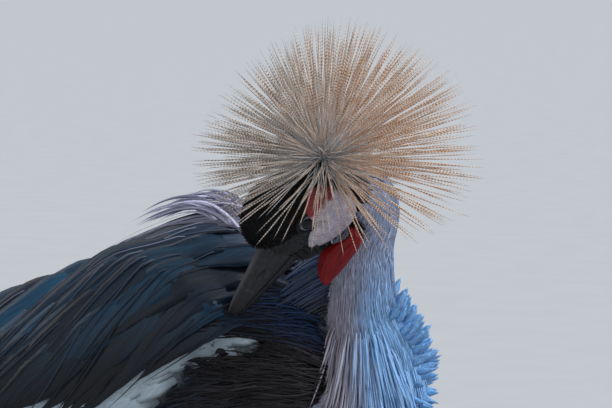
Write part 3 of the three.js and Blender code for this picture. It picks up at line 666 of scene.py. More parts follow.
def feather_finish(
    name, barbs=26.0, slant=0.35, streak=0.5, edge=0.5, shaft=0.5, relief=0.12, roughness=0.5, rim=0.84,
    **uniform,
):
    """barbs is how many streaks there are along the feather, slant how far each leans forward and streak how
    strong they are. edge is how much lighter the edges are as painted rim highlight, from rim outwards, and
    shaft the middle line."""
    made = Finish(name, roughness, **uniform)
    u, across, along, seed = made.vane()
    lean = made.math("SUBTRACT", along, made.times(across, slant))
    fine_field = made.vector(made.times(u, 1.4), made.times(lean, barbs), made.times(seed, 90.0))
    fine = made.noise(fine_field, 1.0, 2.0, 0.6)
    broad = made.noise(made.vector(u, made.times(lean, barbs / 6), made.times(seed, 37.0)), 1.0, 2.0)
    base = made.tint()
    toned = made.streaked(base, fine, streak)
    toned = made.blend(made.ramp(broad, 0.35, 0.65, 0.0, 0.6), toned, made.scaled(toned, 1.35))
    # Lighter edges: a painted rim highlight.
    rim_highlight = made.scaled(base, 1 + 2.6 * edge)
    toned = made.blend(made.ramp(across, rim, 1.0, 0.0, min(edge, 1.0)), toned, rim_highlight)
    line = made.ramp(across, 0.03, 0.1, shaft, 0.0)
    toned = made.blend(line, toned, made.scaled(base, 1.9))
    made.colour(toned)
    height = made.math("ADD", fine, made.times(line, 1.5))
    made.bump(height, relief * MM)
    made.rough(made.ramp(broad, 0.3, 0.7, roughness - 0.08, roughness + 0.12))
    return made.material


def strand_finish(name, streak=0.45, roughness=0.55, **uniform):
    made = Finish(name, roughness, **uniform)
    u, across, along, seed = made.vane()
    field = made.vector(made.times(u, 2.0), made.times(along, 5.0), made.times(seed, 61.0))
    grain = made.noise(field, 1.0, 2.0)
    base = made.tint()
    toned = made.streaked(base, grain, streak)
    toned = made.blend(made.ramp(across, 0.5, 1.0, 0.0, 0.35), toned, made.scaled(base, 0.45))
    made.colour(toned)
    made.bump(grain, 0.1 * MM)
    made.rough(made.ramp(grain, 0.3, 0.7, roughness - 0.08, roughness + 0.1))
    return made.material


slate_finish = feather_finish(
    "slate_feather", barbs=20.0, streak=0.35, roughness=0.44, edge=0.9, shaft=0.3, rim=0.93,
    Specular_IOR_Level=0.3, Sheen_Weight=0.05, Sheen_Roughness=0.35,
)
breast_finish = feather_finish(
    "breast_feather", barbs=16.0, roughness=0.5, edge=0.3, shaft=0.3, Specular_IOR_Level=0.18,
    Sheen_Weight=0.04,
)
belly_finish = feather_finish("belly_feather", roughness=0.62, edge=0.3, shaft=0.2, Sheen_Weight=0.25)
covert_finish = feather_finish(
    "white_covert", streak=0.1, edge=0.12, shaft=0.25, roughness=0.5, Sheen_Weight=0.2,
)
flight_finish = feather_finish(
    "flight_feather", barbs=70.0, slant=0.12, streak=0.35, edge=0.1, shaft=1.0, roughness=0.36,
    Sheen_Weight=0.1,
)
neck_finish = strand_finish("neck_plume", roughness=0.55, Sheen_Weight=0.25, Sheen_Roughness=0.45)
ruff_finish = feather_finish(
    "ruff_plume", barbs=18.0, streak=0.35, edge=0.35, shaft=0.4, roughness=0.5, Sheen_Weight=0.2,
)
throat_finish = strand_finish("throat_plume", streak=0.3, roughness=0.7)


def skin_finish():
    """Down and skin under the coat, tinted as the coat above it."""
    made = Finish("skin_down", 0.85)
    grain = made.noise(made.place(), 900.0, 4.0, 0.65)
    base = made.tint()
    made.colour(made.blend(made.ramp(grain, 0.3, 0.7), made.scaled(base, 0.5), base))
    made.bump(grain, 0.5 * MM)
    return made.material


def horn_finish():
    """Dark grey horn of the bill, with a painted highlight along its top line, and fine lengthwise streaks.
    """
    made = Finish("bill_horn", 0.42, Specular_IOR_Level=0.3, Coat_Weight=0.06, Coat_Roughness=0.35)
    around, along = made.unwrap("grain")
    streaks = made.noise(made.vector(made.times(around, 26.0), made.times(along, 5.0), 0.0), 1.0, 5.0, 0.7)
    mottle = made.noise(made.place(), 320.0, 5.0, 0.7, 0.6)
    ground = made.blend(made.ramp(streaks, 0.32, 0.7), linear(15, 14, 17), linear(40, 38, 42))
    ground = made.blend(made.ramp(mottle, 0.5, 0.78, 0.0, 0.7), ground, linear(78, 75, 78))
    # A painted highlight along the top of the upper bill, weaker near its base.
    culmen_highlight = made.times(made.ramp(around, 0.34, 0.5, 0.0, 1.0), made.ramp(along, 0.02, 0.3, 0.35, 1.0))
    ground = made.blend(made.times(culmen_highlight, 0.8), ground, linear(94, 90, 94))
    made.colour(ground)
    made.rough(made.ramp(streaks, 0.3, 0.7, 0.34, 0.58))
    made.bump(made.math("ADD", made.times(streaks, 0.7), made.times(mottle, 0.5)), 0.35 * MM)
    return made.material


def cheek_finish():
    """Bare white skin, painted grey-lavender and darker in its folds as painted shade, with fine pores; red
    along its upper hind edge.
    """
    made = Finish("bare_cheek", 0.5, Subsurface_Weight=0.15, Subsurface_Scale=0.003)
    made.shader.inputs["Subsurface Radius"].default_value = (1.0, 0.4, 0.3)
    where = made.place()
    pores = made.node("ShaderNodeTexVoronoi", {"Vector": where, "Scale": 1500.0}).outputs["Distance"]
    folds = made.noise(where, 260.0, 5.0, 0.6, 0.8)
    red = made.value("red")
    # The white skin's grey-lavender, and its darker folds, are painted shade.
    pale = made.blend(made.ramp(folds, 0.3, 0.72), linear(144, 134, 146), linear(188, 179, 190))
    hot = made.blend(made.ramp(folds, 0.3, 0.7), linear(92, 7, 13), linear(144, 16, 24))
    toned = made.blend(red, pale, hot)
    made.colour(made.blend(made.ramp(pores, 0.0, 0.35, 0.25, 0.0), toned, linear(112, 90, 104)))
    made.bump(made.math("SUBTRACT", folds, made.times(pores, 0.5)), 0.3 * MM)
    return made.material


def wattle_finish():
    """Deep red skin with fine lengthwise creases, darker in the folds as painted shade."""
    made = Finish(
        "wattle_skin", 0.42, Specular_IOR_Level=0.22, Subsurface_Weight=0.12, Subsurface_Scale=0.003,
        Coat_Weight=0.05, Coat_Roughness=0.35,
    )
    made.shader.inputs["Subsurface Radius"].default_value = (1.0, 0.15, 0.1)
    around, along = made.unwrap("grain")
    lengthwise = made.vector(made.times(around, 34.0), made.times(along, 5.0), 0.0)
    creases = made.noise(lengthwise, 1.0, 4.0, 0.6, 0.5)
    grain = made.noise(made.place(), 1300.0, 4.0, 0.7)
    # Darker where the creases sink: painted shade.
    crease_shaded = made.blend(made.ramp(creases, 0.34, 0.66), linear(86, 3, 8), linear(146, 9, 17))
    crease_shaded = made.blend(made.ramp(grain, 0.55, 0.8, 0.0, 0.4), crease_shaded, linear(168, 34, 42))
    made.colour(crease_shaded)
    made.rough(made.ramp(grain, 0.3, 0.7, 0.3, 0.52))
    made.bump(made.math("ADD", creases, made.times(grain, 0.35)), 0.5 * MM)
    return made.material


def leg_finish():
    """Black leg skin in small rounded scales, grey along their rims."""
    made = Finish("leg_scale", 0.5)
    where = made.place()
    cells = made.node(
        "ShaderNodeTexVoronoi", {"Vector": where, "Scale": 420.0}, feature="DISTANCE_TO_EDGE",
    ).outputs[0]
    tone = made.noise(where, 160.0, 4.0, 0.6)
    plate = made.blend(made.ramp(tone, 0.3, 0.7), linear(20, 20, 23), linear(44, 43, 47))
    made.colour(made.blend(made.ramp(cells, 0.02, 0.12, 0.75, 0.0), plate, linear(86, 84, 86)))
    made.bump(made.ramp(cells, 0.0, 0.14), 0.5 * MM)
    made.rough(made.ramp(tone, 0.3, 0.7, 0.4, 0.6))
    return made.material


def claw_finish():
    made = Finish("claw_horn", 0.32, Coat_Weight=0.2, Coat_Roughness=0.3)
    streaks = made.noise(made.place(), 500.0, 4.0, 0.6, 0.4)
    made.colour(made.blend(made.ramp(streaks, 0.3, 0.7), linear(12, 12, 14), linear(52, 49, 50)))
    made.bump(streaks, 0.15 * MM)
    return made.material


def eye_finish():
    """A grey iris with fine rays round a large black pupil, dark outside its rim; the iris is darker than its
    own pale grey-blue, as painted shade.
    """
    made = Finish("eye_wet", 0.08, Specular_IOR_Level=0.2, Coat_Weight=0.12, Coat_Roughness=0.04)
    around, outwards = made.unwrap("grain")
    rays = made.noise(made.vector(made.times(around, 60.0), made.times(outwards, 3.0), 0.0), 1.0, 3.0)
    # Iris greys darkened from its own pale grey-blue: painted shade.
    iris = made.blend(made.ramp(rays, 0.3, 0.7), linear(84, 86, 92), linear(132, 134, 142))
    outside = made.ramp(outwards, 0.52, 0.58)
    inside = made.ramp(outwards, 0.34, 0.36, 1.0, 0.0)
    toned = made.blend(inside, iris, linear(4, 4, 5))
    made.colour(made.blend(outside, toned, linear(14, 13, 14)))
    return made.material


def crown_finish():
    """Straw bristle: pale, white and brown bands along it, painted light and shade of its twist; grey-white
    nearer the root, dark at its tip.
    Short ones are grey-white throughout."""
    made = Finish("crown_bristle", 0.35, Sheen_Weight=0.5, Sheen_Roughness=0.4)
    _, share = made.unwrap("vane")
    seed = made.value("seed")
    long = made.value("length")
    along = made.times(share, long)
    # Painted light and shade of the twist: lit and unlit bands along the bristle, white at the brightest.
    turn = made.math("ADD", made.times(along, 46.0), made.times(seed, 17.0))
    twist_shading = made.math("SINE", made.times(turn, 2 * math.pi))
    wander = made.noise(made.vector(made.times(along, 14.0), made.times(seed, 71.0), 0.0), 1.0, 3.0)
    twist_light_and_shade = made.math("ADD", twist_shading, made.times(made.math("SUBTRACT", wander, 0.5), 3.4))
    golden = made.value("golden")
    whole = made.value("whole")
    straw = made.blend(golden, linear(255, 238, 212), linear(255, 210, 146))
    brown = made.blend(golden, linear(132, 90, 58), linear(186, 112, 50))
    body = made.blend(made.ramp(twist_light_and_shade, -1.0, 0.0), brown, straw)
    body = made.blend(made.ramp(twist_light_and_shade, 0.15, 0.5), body, (1.0, 0.99, 0.97))
    shade = made.times(seed, 9.7)
    body = made.blend(made.ramp(made.math("FRACT", shade), 0.0, 1.0, 0.35, 0.0), body, brown)
    grey = made.blend(made.ramp(twist_light_and_shade, -0.5, 0.5), linear(226, 228, 232), (0.96, 0.97, 0.98))
    near_root = made.ramp(along, 0.1, 0.38, 1.0, 0.0)
    body = made.blend(made.math("MAXIMUM", near_root, made.math("SUBTRACT", 1.0, whole)), body, grey)
    body = made.blend(made.ramp(along, 0.0, 0.035, 0.8, 0.0), body, linear(84, 92, 110))
    body = made.blend(made.times(made.ramp(share, 0.9, 1.0, 0.0, 0.85), whole), body, linear(54, 46, 46))
    made.colour(body)
    return made.material


# The skin: trunk, neck, skull and thighs melted into one


def ring_angles(around):
    return np.linspace(0, 360, around, endpoint=False)


def trunk_part(sink):
    x = np.linspace(TRUNK_REAR, TRUNK_FRONT, 64)[:, None]
    turn = ring_angles(72)[None]
    rings = trunk_point(x + 0 * turn, turn + 0 * x, -sink * smooth(np.abs(x - (-27)), 175, 120))
    return loft(rings)


def neck_part(sink):
    share = np.linspace(0, 1, 60)[:, None]
    turn = ring_angles(48)[None]
    return loft(neck_point(share + 0 * turn, turn + 0 * share, -sink * np.ones((60, 48))))


def skull_part(sink):
    x = np.linspace(SKULL_REAR, SKULL_FRONT + 1, 50)[:, None]
    a = np.radians(ring_angles(56))[None]
    tall = np.where(np.sin(a) > 0, skull_above(x), skull_below(x)) - sink
    pinch = np.where(np.sin(a) > 0, 1, 1 - 0.25 * np.sin(a) ** 2)
    y = (skull_width(x) - sink) * np.cos(a) * pinch
    return loft(from_head(np.stack([x + 0 * a, y, tall * np.sin(a)], -1)))


def ball_part(centre, radii, across=48, down=28):
    p = np.radians(np.linspace(0, 180, down + 2)[1:-1])[:, None]
    a = np.radians(ring_angles(across))[None]
    unit_ball = np.stack([np.cos(p) + 0 * a, np.sin(p) * np.cos(a), np.sin(p) * np.sin(a)], -1)
    return loft(np.asarray(centre) + unit_ball * np.asarray(radii))


def line_ways(line):
    """Two ways square to a line that lies in an upright plane, one row for each place on it."""
    forward = unit(np.gradient(line, axis=0))
    across = unit(np.cross(forward, (0, 1, 0)))
    return across, np.cross(forward, across)


def ring_ways(angles, across, other):
    return np.cos(angles)[None, :, None] * across + np.sin(angles)[None, :, None] * other


def limb_part(line, radius, around, steps):
    """A round limb along a line of places, with its radius by share along it."""
    share = np.linspace(0, 1, steps)
    centre = along_table(line, share)
    across, other = line_ways(centre)
    ring = ring_ways(np.radians(ring_angles(around)), across[:, None], other[:, None])
    return loft(centre[:, None] + radius(share)[:, None, None] * ring)


def thigh_line(side):
    top, end = np.array(THIGH_TOP, float), np.array(THIGH_END, float)
    middle = (top + end) / 2 + (9, 0, 0)
    return spline([p + (0, side * STANCE, 0) for p in (top, middle, end)])[0]


THIGH_RADIUS = through([(0, 37), (0.3, 34), (0.6, 23), (1, 11.5)])


def build_skin():
    parts = [trunk_part(5.0), neck_part(3.0), skull_part(1.0)]
    dome, faces = ball_part(CUSHION_CENTRE, CUSHION_RADII - 1.0)
    parts.append((from_head(dome), faces))
    for side in (LEFT, RIGHT):
        parts.append(limb_part(thigh_line(side), lambda t: THIGH_RADIUS(t) - 2.0, 28, 26))
    return melted("skin", parts, SKIN_VOXEL, SKIN_ROUNDS)


def mesh_arrays(made):
    """A mesh's points in the bird's own frame, its triangles, and its points' normals."""
    mesh = made.data
    mesh.calc_loop_triangles()
    read = []
    for items, key, kind in (
        (mesh.vertices, "co", np.float32), (mesh.loop_triangles, "vertices", np.int32),
        (mesh.vertices, "normal", np.float32),
    ):
        values = np.empty(len(items) * 3, kind)
        items.foreach_get(key, values)
        read.append(values.reshape(-1, 3))
    points, triangles, normals = read
    return points / MM - SHIFT, triangles, normals


def neck_share(points):
    """Each point's share along the neck and its distance from the neck's line."""
    best = np.empty(len(points), int)
    near = np.empty(len(points))
    for start in range(0, len(points), 4000):
        block = points[start:start + 4000]
        d = np.linalg.norm(block[:, None] - neck_line[None], axis=2)
        best[start:start + 4000] = d.argmin(1)
        near[start:start + 4000] = d.min(1)
    return best / (len(neck_line) - 1), near


def head_depth(points, grow=0.0):
    """Below 1 inside the skull or its velvet cushion, above 1 outside."""
    q = to_head(points)
    x = np.clip(q[:, 0], SKULL_REAR, SKULL_FRONT)
    tall = np.where(q[:, 2] > 0, skull_above(x), skull_below(x)) + grow
    beyond, beside = (q[:, 0] - x) / 4, q[:, 1] / (skull_width(x) + grow)
    skull = np.sqrt(beyond**2 + beside**2 + (q[:, 2] / tall) ** 2)
    dome = np.linalg.norm((q - CUSHION_CENTRE) / (CUSHION_RADII + grow), axis=1)
    return np.minimum(skull, dome)


def is_head(points):
    return head_depth(points, 1.5) < 1.03


def back_tint(x, turn, rng):
    """Slate-blue back with a painted lavender highlight along its top, near-black breast, blue beside the
    neck, grey below.
    """
    turn = np.abs(turn)
    shade = SLATE * (0.65 + 0.7 * rng.uniform(0, 1, (len(x), 1)))
    # top: where the painted highlight lies, along the top of the back.
    top = (smooth(turn, 34, 8) * smooth(x, 120, 60) * rng.uniform(0.1, 0.8, len(x)))[:, None]
    shade = mix(shade, SLATE_HIGHLIGHT * rng.uniform(0.6, 1.1, (len(x), 1)), top)
    breast = (smooth(x, 40, 95) * smooth(turn, 42, 66))[:, None]
    near_neck = smooth(x, 104, 140)[:, None] * smooth(turn, 82, 46)[:, None]
    dark = mix(BREAST * (0.55 + 0.8 * rng.uniform(0, 1, (len(x), 1))), BREAST_BLUE, 0.8 * near_neck)
    shade = mix(shade, dark, breast)
    under = (smooth(turn, 108, 138))[:, None]
    return mix(shade, BELLY * (0.7 + 0.4 * rng.uniform(0, 1, (len(x), 1))), under)


def tint_skin(made):
    points, _, _ = mesh_arrays(made)
    rng = np.random.default_rng(3)
    turn = np.degrees(np.arctan2(points[:, 1], points[:, 2] - trunk_middle(points[:, 0])))
    # The skin under the coat is darker than the coat above it: painted shade in the gaps.
    shade = back_tint(points[:, 0], turn, rng) * 0.6
    share, near = neck_share(points)
    neck = (share > 0.28) & (near < neck_radius(share) + 4)
    # Darker than the neck plumes above: painted shade.
    shade[neck] = NECK_MAUVE * 0.45
    shade[is_head(points)] = VELVET
    set_tint(made.data, shade)


# Feathers laid on the trunk


def wing_cover(x, turn):
    """How much higher the surface is where the folded wing lies on the trunk."""
    turn = np.abs(turn)
    below_top = smooth(turn, wing_upper(x) - 16, wing_upper(x) + 8)
    over = below_top * smooth(turn, wing_lower(x) + 9, wing_lower(x))
    return 14.0 * over * smooth(x, 99, 74)


def laid(x, turn, length, drop, lift_root, lift_tip, steps, bend=0.0, surface=trunk_point):
    """Lines of places for feathers laid on the body: drop is in degrees down the side from root to tip."""
    t = along_steps(steps)
    away = np.sign(turn)[:, None]
    xs = x[:, None] - length[:, None] * t
    turns = turn[:, None] + away * (drop[:, None] * t + np.asarray(bend).reshape(-1, 1) * np.sin(np.pi * t))
    lift = mix(lift_root, lift_tip[:, None], smooth(t, 0, 0.3))
    lift = lift + wing_cover(xs, turns) * smooth(t, 0.0, 0.25)
    return *on_surface(surface, xs, turns, lift), turns


def lance(t, fullest=0.4, blunt=0.35):
    """Width along a pointed feather, 0 at both ends."""
    rise = np.sin(0.5 * np.pi * np.clip(t / fullest, 0, 1)) ** 0.6
    fall = 1 - (1 - blunt) * smooth(t, fullest, 1.0)
    return rise * fall * (1 - smooth(t, 0.86, 1.0) * 0.9)


def paddle(t, tip=0.88):
    rise = np.clip(t * 5, 0, 1) ** 0.5 * (0.55 + 0.45 * smooth(t, 0, 0.5))
    return rise * np.sqrt(np.clip((1 - t) / (1 - tip), 0, 1))


def ragged(rng, width, count, steps, amount):
    """Uneven left and right widths, as where barbs part."""
    jitter = 1 + amount * rng.uniform(-1, 1, (count, steps, 2))
    return width[..., None] * jitter


def in_neck(x, turn):
    """True where a feather's root on the trunk would lie inside the neck."""
    share, near = neck_share(trunk_point(x, turn, 0))
    return (share > 0.1) & (near < neck_radius(share) - 9)


def clear_of_patch(drop, x, side, length, slack):
    """A feather's drop, lessened so that its tip stays above the white patch."""
    lowest = np.minimum(patch_top(x - length), patch_top(x - 0.6 * length))
    return np.minimum(drop, np.maximum(lowest - side + slack, -8))


def contour_feathers():
    """Body feathers on the trunk, outside the folded wings, in shingled rows."""
    rng = np.random.default_rng(101)
    roots = []
    for row, x in enumerate(np.arange(145, -196, -5.4)):
        width = float(trunk_width(x)) + 6
        step = np.degrees(4.6 / width)
        turns = np.arange(-180, 180, step) + (row % 2) * step / 2
        roots.append(np.stack([x + 0 * turns, turns], -1))
    roots = np.vstack(roots)
    roots += rng.uniform(-1, 1, roots.shape) * (2.6, 2.4)
    x, turn = roots.T
    side = np.abs(turn)
    wing_start = np.where(x > 20, patch_top(x) - 1, wing_upper(x) + 6)
    stop = np.interp(side, PATCH_TURNS, PATCH_STOPS)
    hidden = (x < 88) & (x > -150) & (side > wing_start) & (side < patch_low(x) - 1)
    hidden |= (x < 94) & (side > np.maximum(wing_start, PATCH_HIGH + 1)) & (side < PATCH_LOW) & (x - stop < 7)
    hidden |= in_neck(x, turn)
    x, turn, side, stop = (row[~hidden] for row in (x, turn, side, stop))
    count = len(x)
    length = scattered(rng, mix(52.0, 76.0, smooth(side, 45, 80) * smooth(x, -60, 20)), 0.18)
    length = length - 20 * smooth(x, -120, -190)
    above = (x < 88) & (side < patch_top(x) - 1)
    over_patch = (side > PATCH_HIGH) & (side < PATCH_LOW) & ~above
    room = np.maximum(x - stop + rng.uniform(-5, 0, count), 5)
    length = np.where(over_patch, np.minimum(length, room), length)
    drop = mix(12.0, 26.0, smooth(side, 10, 45)) * smooth(side, 88, 56) * smooth(x, 150, 80)
    drop = drop + rng.uniform(-3, 3, count)
    front = (side > 40) & (side < 84)
    drop = np.where(front, clear_of_patch(drop, x, side, length, rng.uniform(-3, 0, count)), drop)
    half = scattered(rng, mix(6.4, 2.3, smooth(side, 40, 62)), 0.25) * mix(1.0, 1.9, smooth(side, 100, 130))
    steps = 9
    tip = mix(-1.2, 0.4, smooth(side, 40, 62)) + 2.6 * rng.uniform(0, 1, count) + 1.0 * smooth(x, 100, 140)
    sunk = mix(-4.0, -1.0, smooth(x, 92, 112))
    centre, normal, _ = laid(x, turn, length, drop, sunk[:, None], tip, steps, rng.uniform(-3, 3, count))
    t = along_steps(steps)
    width = half[:, None] * lance(t, 0.4, 0.16)
    tint = back_tint(x, turn, rng)
    root = body_root(x, turn)
    groups = [
        ("back_feathers", side < 56, slate_finish, "slate_feathers"),
        ("breast_feathers", (side >= 56) & (side <= 116), breast_finish, "slate_feathers"),
        ("belly_feathers", side > 116, belly_finish, "slate_feathers"),
    ]
    for name, pick, material, slot in groups:
        made = feathers(
            name, centre[pick], normal[pick], ragged(rng, width[pick], pick.sum(), steps, 0.25), tint[pick],
            root[pick], material, thick=0.3, cup=0.1,
        )
        nodes = ("torso",) if name == "back_feathers" else ()
        finish_piece(made, slot, *nodes)
    breast_strands(rng)


def breast_strands(rng):
    """Loose hair-fine barbs over the sides of the breast, from beside the neck back to the wing."""
    count = BREAST_STRANDS
    x = rng.uniform(52, 140, count)
    side = rng.uniform(48, 116, count)
    turn = side * rng.choice([LEFT, RIGHT], count)
    length = rng.uniform(40, 72, count)
    stop = np.interp(side, PATCH_TURNS, PATCH_STOPS)
    below = (side > PATCH_HIGH) & (side < PATCH_LOW)
    length = np.where(below, np.minimum(length, x - stop + rng.uniform(-6, 3, count)), length)
    keep = (length > 12) & ~in_neck(x, turn) & ~((side > patch_top(x) - 2) & (side < patch_low(x)) & (x < 92))
    x, side, turn, length = x[keep], side[keep], turn[keep], length[keep]
    count = len(x)
    drop = mix(20.0, 2.0, smooth(side, 52, 84)) + rng.uniform(-4, 4, count)
    drop = np.where(side < 82, clear_of_patch(drop, x, side, length, rng.uniform(-3, 2, count)), drop)
    steps = 7
    tip = 2.2 + 2.6 * rng.uniform(0, 1, count)
    sunk = mix(-3.0, -1.0, smooth(x, 92, 112))
    centre, normal, _ = laid(x, turn, length, drop, sunk[:, None], tip, steps, rng.uniform(-4, 4, count))
    t = along_steps(steps)
    width = rng.uniform(0.3, 0.75, count)[:, None] * lance(t, 0.35, 0.2)
    tint = back_tint(x, turn, rng) * rng.uniform(0.6, 2.0, (count, 1))
    root = body_root(x, turn)
    made = feathers(
        "breast_strands", centre, normal, width, tint, root, breast_finish, thick=0.35, cup=0.0,
        section=STRAND,
    )
    finish_piece(made, "slate_feathers")


def scapulars():
    """Long pointed feathers of the mantle and shoulders that hang over the folded wings."""
    rng = np.random.default_rng(202)
    rows = []
    for base, start, end, count, long, drop in (
        (7, 104, -104, 10, 100, 9), (17, 106, -100, 10, 108, 20), (27, 106, -84, 10, 116, 32),
        (37, 104, -66, 10, 124, 42), (46, 100, -56, 10, 128, 54), (54, 94, -46, 10, 118, 52),
        (61, 90, -40, 10, 98, 44), (70, 10, -50, 6, 92, 34),
    ):
        x = np.linspace(start, end, count)
        rows.append(np.stack([x, base + 0 * x, long + 0 * x, drop + 0 * x], -1))
    one = np.vstack(rows)
    x, base, length, drop = np.vstack([one, one]).T
    side = np.repeat([LEFT, RIGHT], len(one))
    x = x + rng.uniform(-7, 7, len(x))
    base = base + rng.uniform(-3.5, 3.5, len(x))
    length = scattered(rng, length, 0.12) * mix(0.8, 1.0, smooth(x, 110, 70))
    drop = scattered(rng, drop, 0.15)
    drop = np.minimum(drop, patch_top(x - length) - base + rng.uniform(-4, 1, len(x)))
    steps = 20
    high = smooth(base, 6, 30)
    tip = mix(1.2, 3.4, high) + 2.6 * rng.uniform(0, 1, len(x))
    bend = rng.uniform(-3, 5, len(x))
    centre, normal, turns = laid(x, side * base, length, drop, -4.0, tip, steps, bend, fold_point)
    t = along_steps(steps)
    half = scattered(rng, mix(9.5, 12.5, high), 0.16)[:, None]
    width = half * lance(t, 0.36, 0.14)
    # pale: the painted lavender highlight along the top of the back.
    pale = (smooth(np.abs(turns), 38, 4) * rng.uniform(0.05, 1.0, (len(x), 1)))[..., None]
    tint = SLATE * (0.4 + 0.8 * rng.uniform(0, 1, (len(x), 1, 1))) * np.ones((1, steps, 1))
    # A painted blue-green sheen on the middle of the side.
    teal_sheen = rng.uniform(0, 1, (len(x), 1)) ** 1.2 * smooth(np.abs(turns), 18, 42)
    teal_sheen = teal_sheen * smooth(np.abs(turns), 92, 66)
    tint = mix(tint, TEAL_SHEEN, 0.8 * teal_sheen[..., None])
    tint = mix(tint, SLATE_HIGHLIGHT * 1.3, pale)
    # Darker down the side, towards black: painted shade.
    tint = tint * mix(1.0, 0.3, smooth(np.abs(turns), 60, 92))[..., None]
    root = body_root(x, side * base)
    made = feathers(
        "shoulder_feathers", centre, normal, ragged(rng, width, len(x), steps, 0.05), tint, root,
        slate_finish, thick=0.5, cup=0.1, section=BROAD,
    )
    finish_piece(made, "slate_feathers")
    loose_plumes(rng)


def loose_plumes(rng):
    """Narrow loose plumes between and over the long shoulder feathers."""
    count = LOOSE_PLUMES
    x = rng.uniform(-90, 108, count)
    base = rng.uniform(3, 62, count)
    side = rng.choice([LEFT, RIGHT], count)
    length = rng.uniform(60, 112, count)
    drop = mix(8, 46, smooth(base, 4, 50)) + rng.uniform(-6, 6, count)
    drop = np.minimum(drop, patch_top(x - length) - base + rng.uniform(-3, 4, count))
    steps = 14
    t = along_steps(steps)
    tip = mix(2.0, 5.4, smooth(base, 6, 30)) + rng.uniform(0.6, 2.4, count)
    bend = rng.uniform(-5, 7, count)
    centre, normal, turns = laid(x, side * base, length, drop, -4.0, tip, steps, bend, fold_point)
    width = rng.uniform(0.4, 0.9, count)[:, None] * lance(t, 0.3, 0.3)
    # pale: the painted lavender highlight near the top of the back.
    pale = (smooth(np.abs(turns), 60, 14) * rng.uniform(0.1, 1.0, (count, 1)))[..., None]
    tint = mix(SLATE * rng.uniform(0.8, 2.6, (count, 1, 1)), SLATE_HIGHLIGHT * 1.2, pale)
    # Darker further down the side: painted shade.
    tint = tint * mix(1.0, 0.5, smooth(np.abs(turns), 66, 104))[..., None]
    root = body_root(x, side * base)
    made = feathers("loose_plumes", centre, normal, width, tint, root, slate_finish, thick=0.4, cup=0.05)
    finish_piece(made, "slate_feathers")
    ridge_plumes()


def ridge_plumes():
    """A few plumes, pale with the painted top highlight, that spring clear of the top of the back behind the
    head, and bow over backwards.
    """
    rng = np.random.default_rng(212)
    count = RIDGE_PLUMES
    x = rng.uniform(62, 100, count)
    y = rng.uniform(-26, 22, count)
    steps = 20
    t = along_steps(steps)
    length = rng.uniform(46, 92, count)[:, None]
    start = trunk_above(x) * np.sqrt(1 - (y / trunk_width(x)) ** 2) + trunk_middle(x) - 3
    lift = rng.uniform(8, 21, count)[:, None]
    xs = x[:, None] - length * t
    ground = trunk_middle(xs) + trunk_above(xs) * np.sqrt(1 - (y[:, None] / trunk_width(xs)) ** 2) - 3
    rise = lift * np.sin(np.pi * np.clip(t * 0.62 + 0.02, 0, 1)) * smooth(t, 0, 0.4)
    zs = mix(start[:, None], ground, smooth(t, 0, 0.6)) + rise
    ys = y[:, None] * (1 + 0.25 * t) + rng.uniform(-5, 5, (count, 1)) * t * t
    centre = np.stack([xs, ys, zs], -1)
    tilt = rng.choice([LEFT, RIGHT], count)[:, None, None] * np.array((0, 0.8, 0))
    normal = np.array((0.15, 0, 0.6)) + tilt + 0 * centre
    width = rng.uniform(0.9, 2.0, count)[:, None] * lance(t, 0.35, 0.2)
    # Pale lavender from the painted highlight colour.
    tint = mix(SLATE_HIGHLIGHT * 1.9, SLATE * 3, rng.uniform(0, 0.5, (count, 1)))
    root = bake_root(x, (-200, 150), y, (-80, 80))
    made = feathers("ridge_plumes", centre, normal, width, tint, root, slate_finish, thick=0.4, cup=0.1)
    finish_piece(made, "slate_feathers")


# The folded wings and the tail


def wing_bed(side, label):
    """The closed body of the folded wing under its coverts."""
    count, columns = 40, 30
    x = np.linspace(-96, 91, count)[:, None]
    s = np.linspace(0, 1, columns)[None]
    turn = side * mix(wing_upper(x), wing_lower(x), s)
    edge = np.sqrt(np.clip(np.sin(np.pi * s), 0, 1)) * np.sqrt(np.clip((93 - x) / 30, 0, 1))
    over = fold_point(x + 0 * s, turn, 2.5 + 6.2 * edge)
    under = fold_point(x + 0 * s, turn, 1.6 + 0 * edge)
    rings = np.concatenate([over, under[:, ::-1]], 1)
    points, faces = loft(rings)
    made = mesh_object(f"wing_{label}_bed", place(points), outward(points, faces), skin_material)
    # The bed under the coverts: their painted-shade grey, darker again as painted shade under them.
    shade = np.tile(COVERT_IN_SHADE * 0.55, (len(points), 1))
    set_tint(made.data, shade)
    finish_piece(made, "white_coverts", f"wing_{label}_arm")


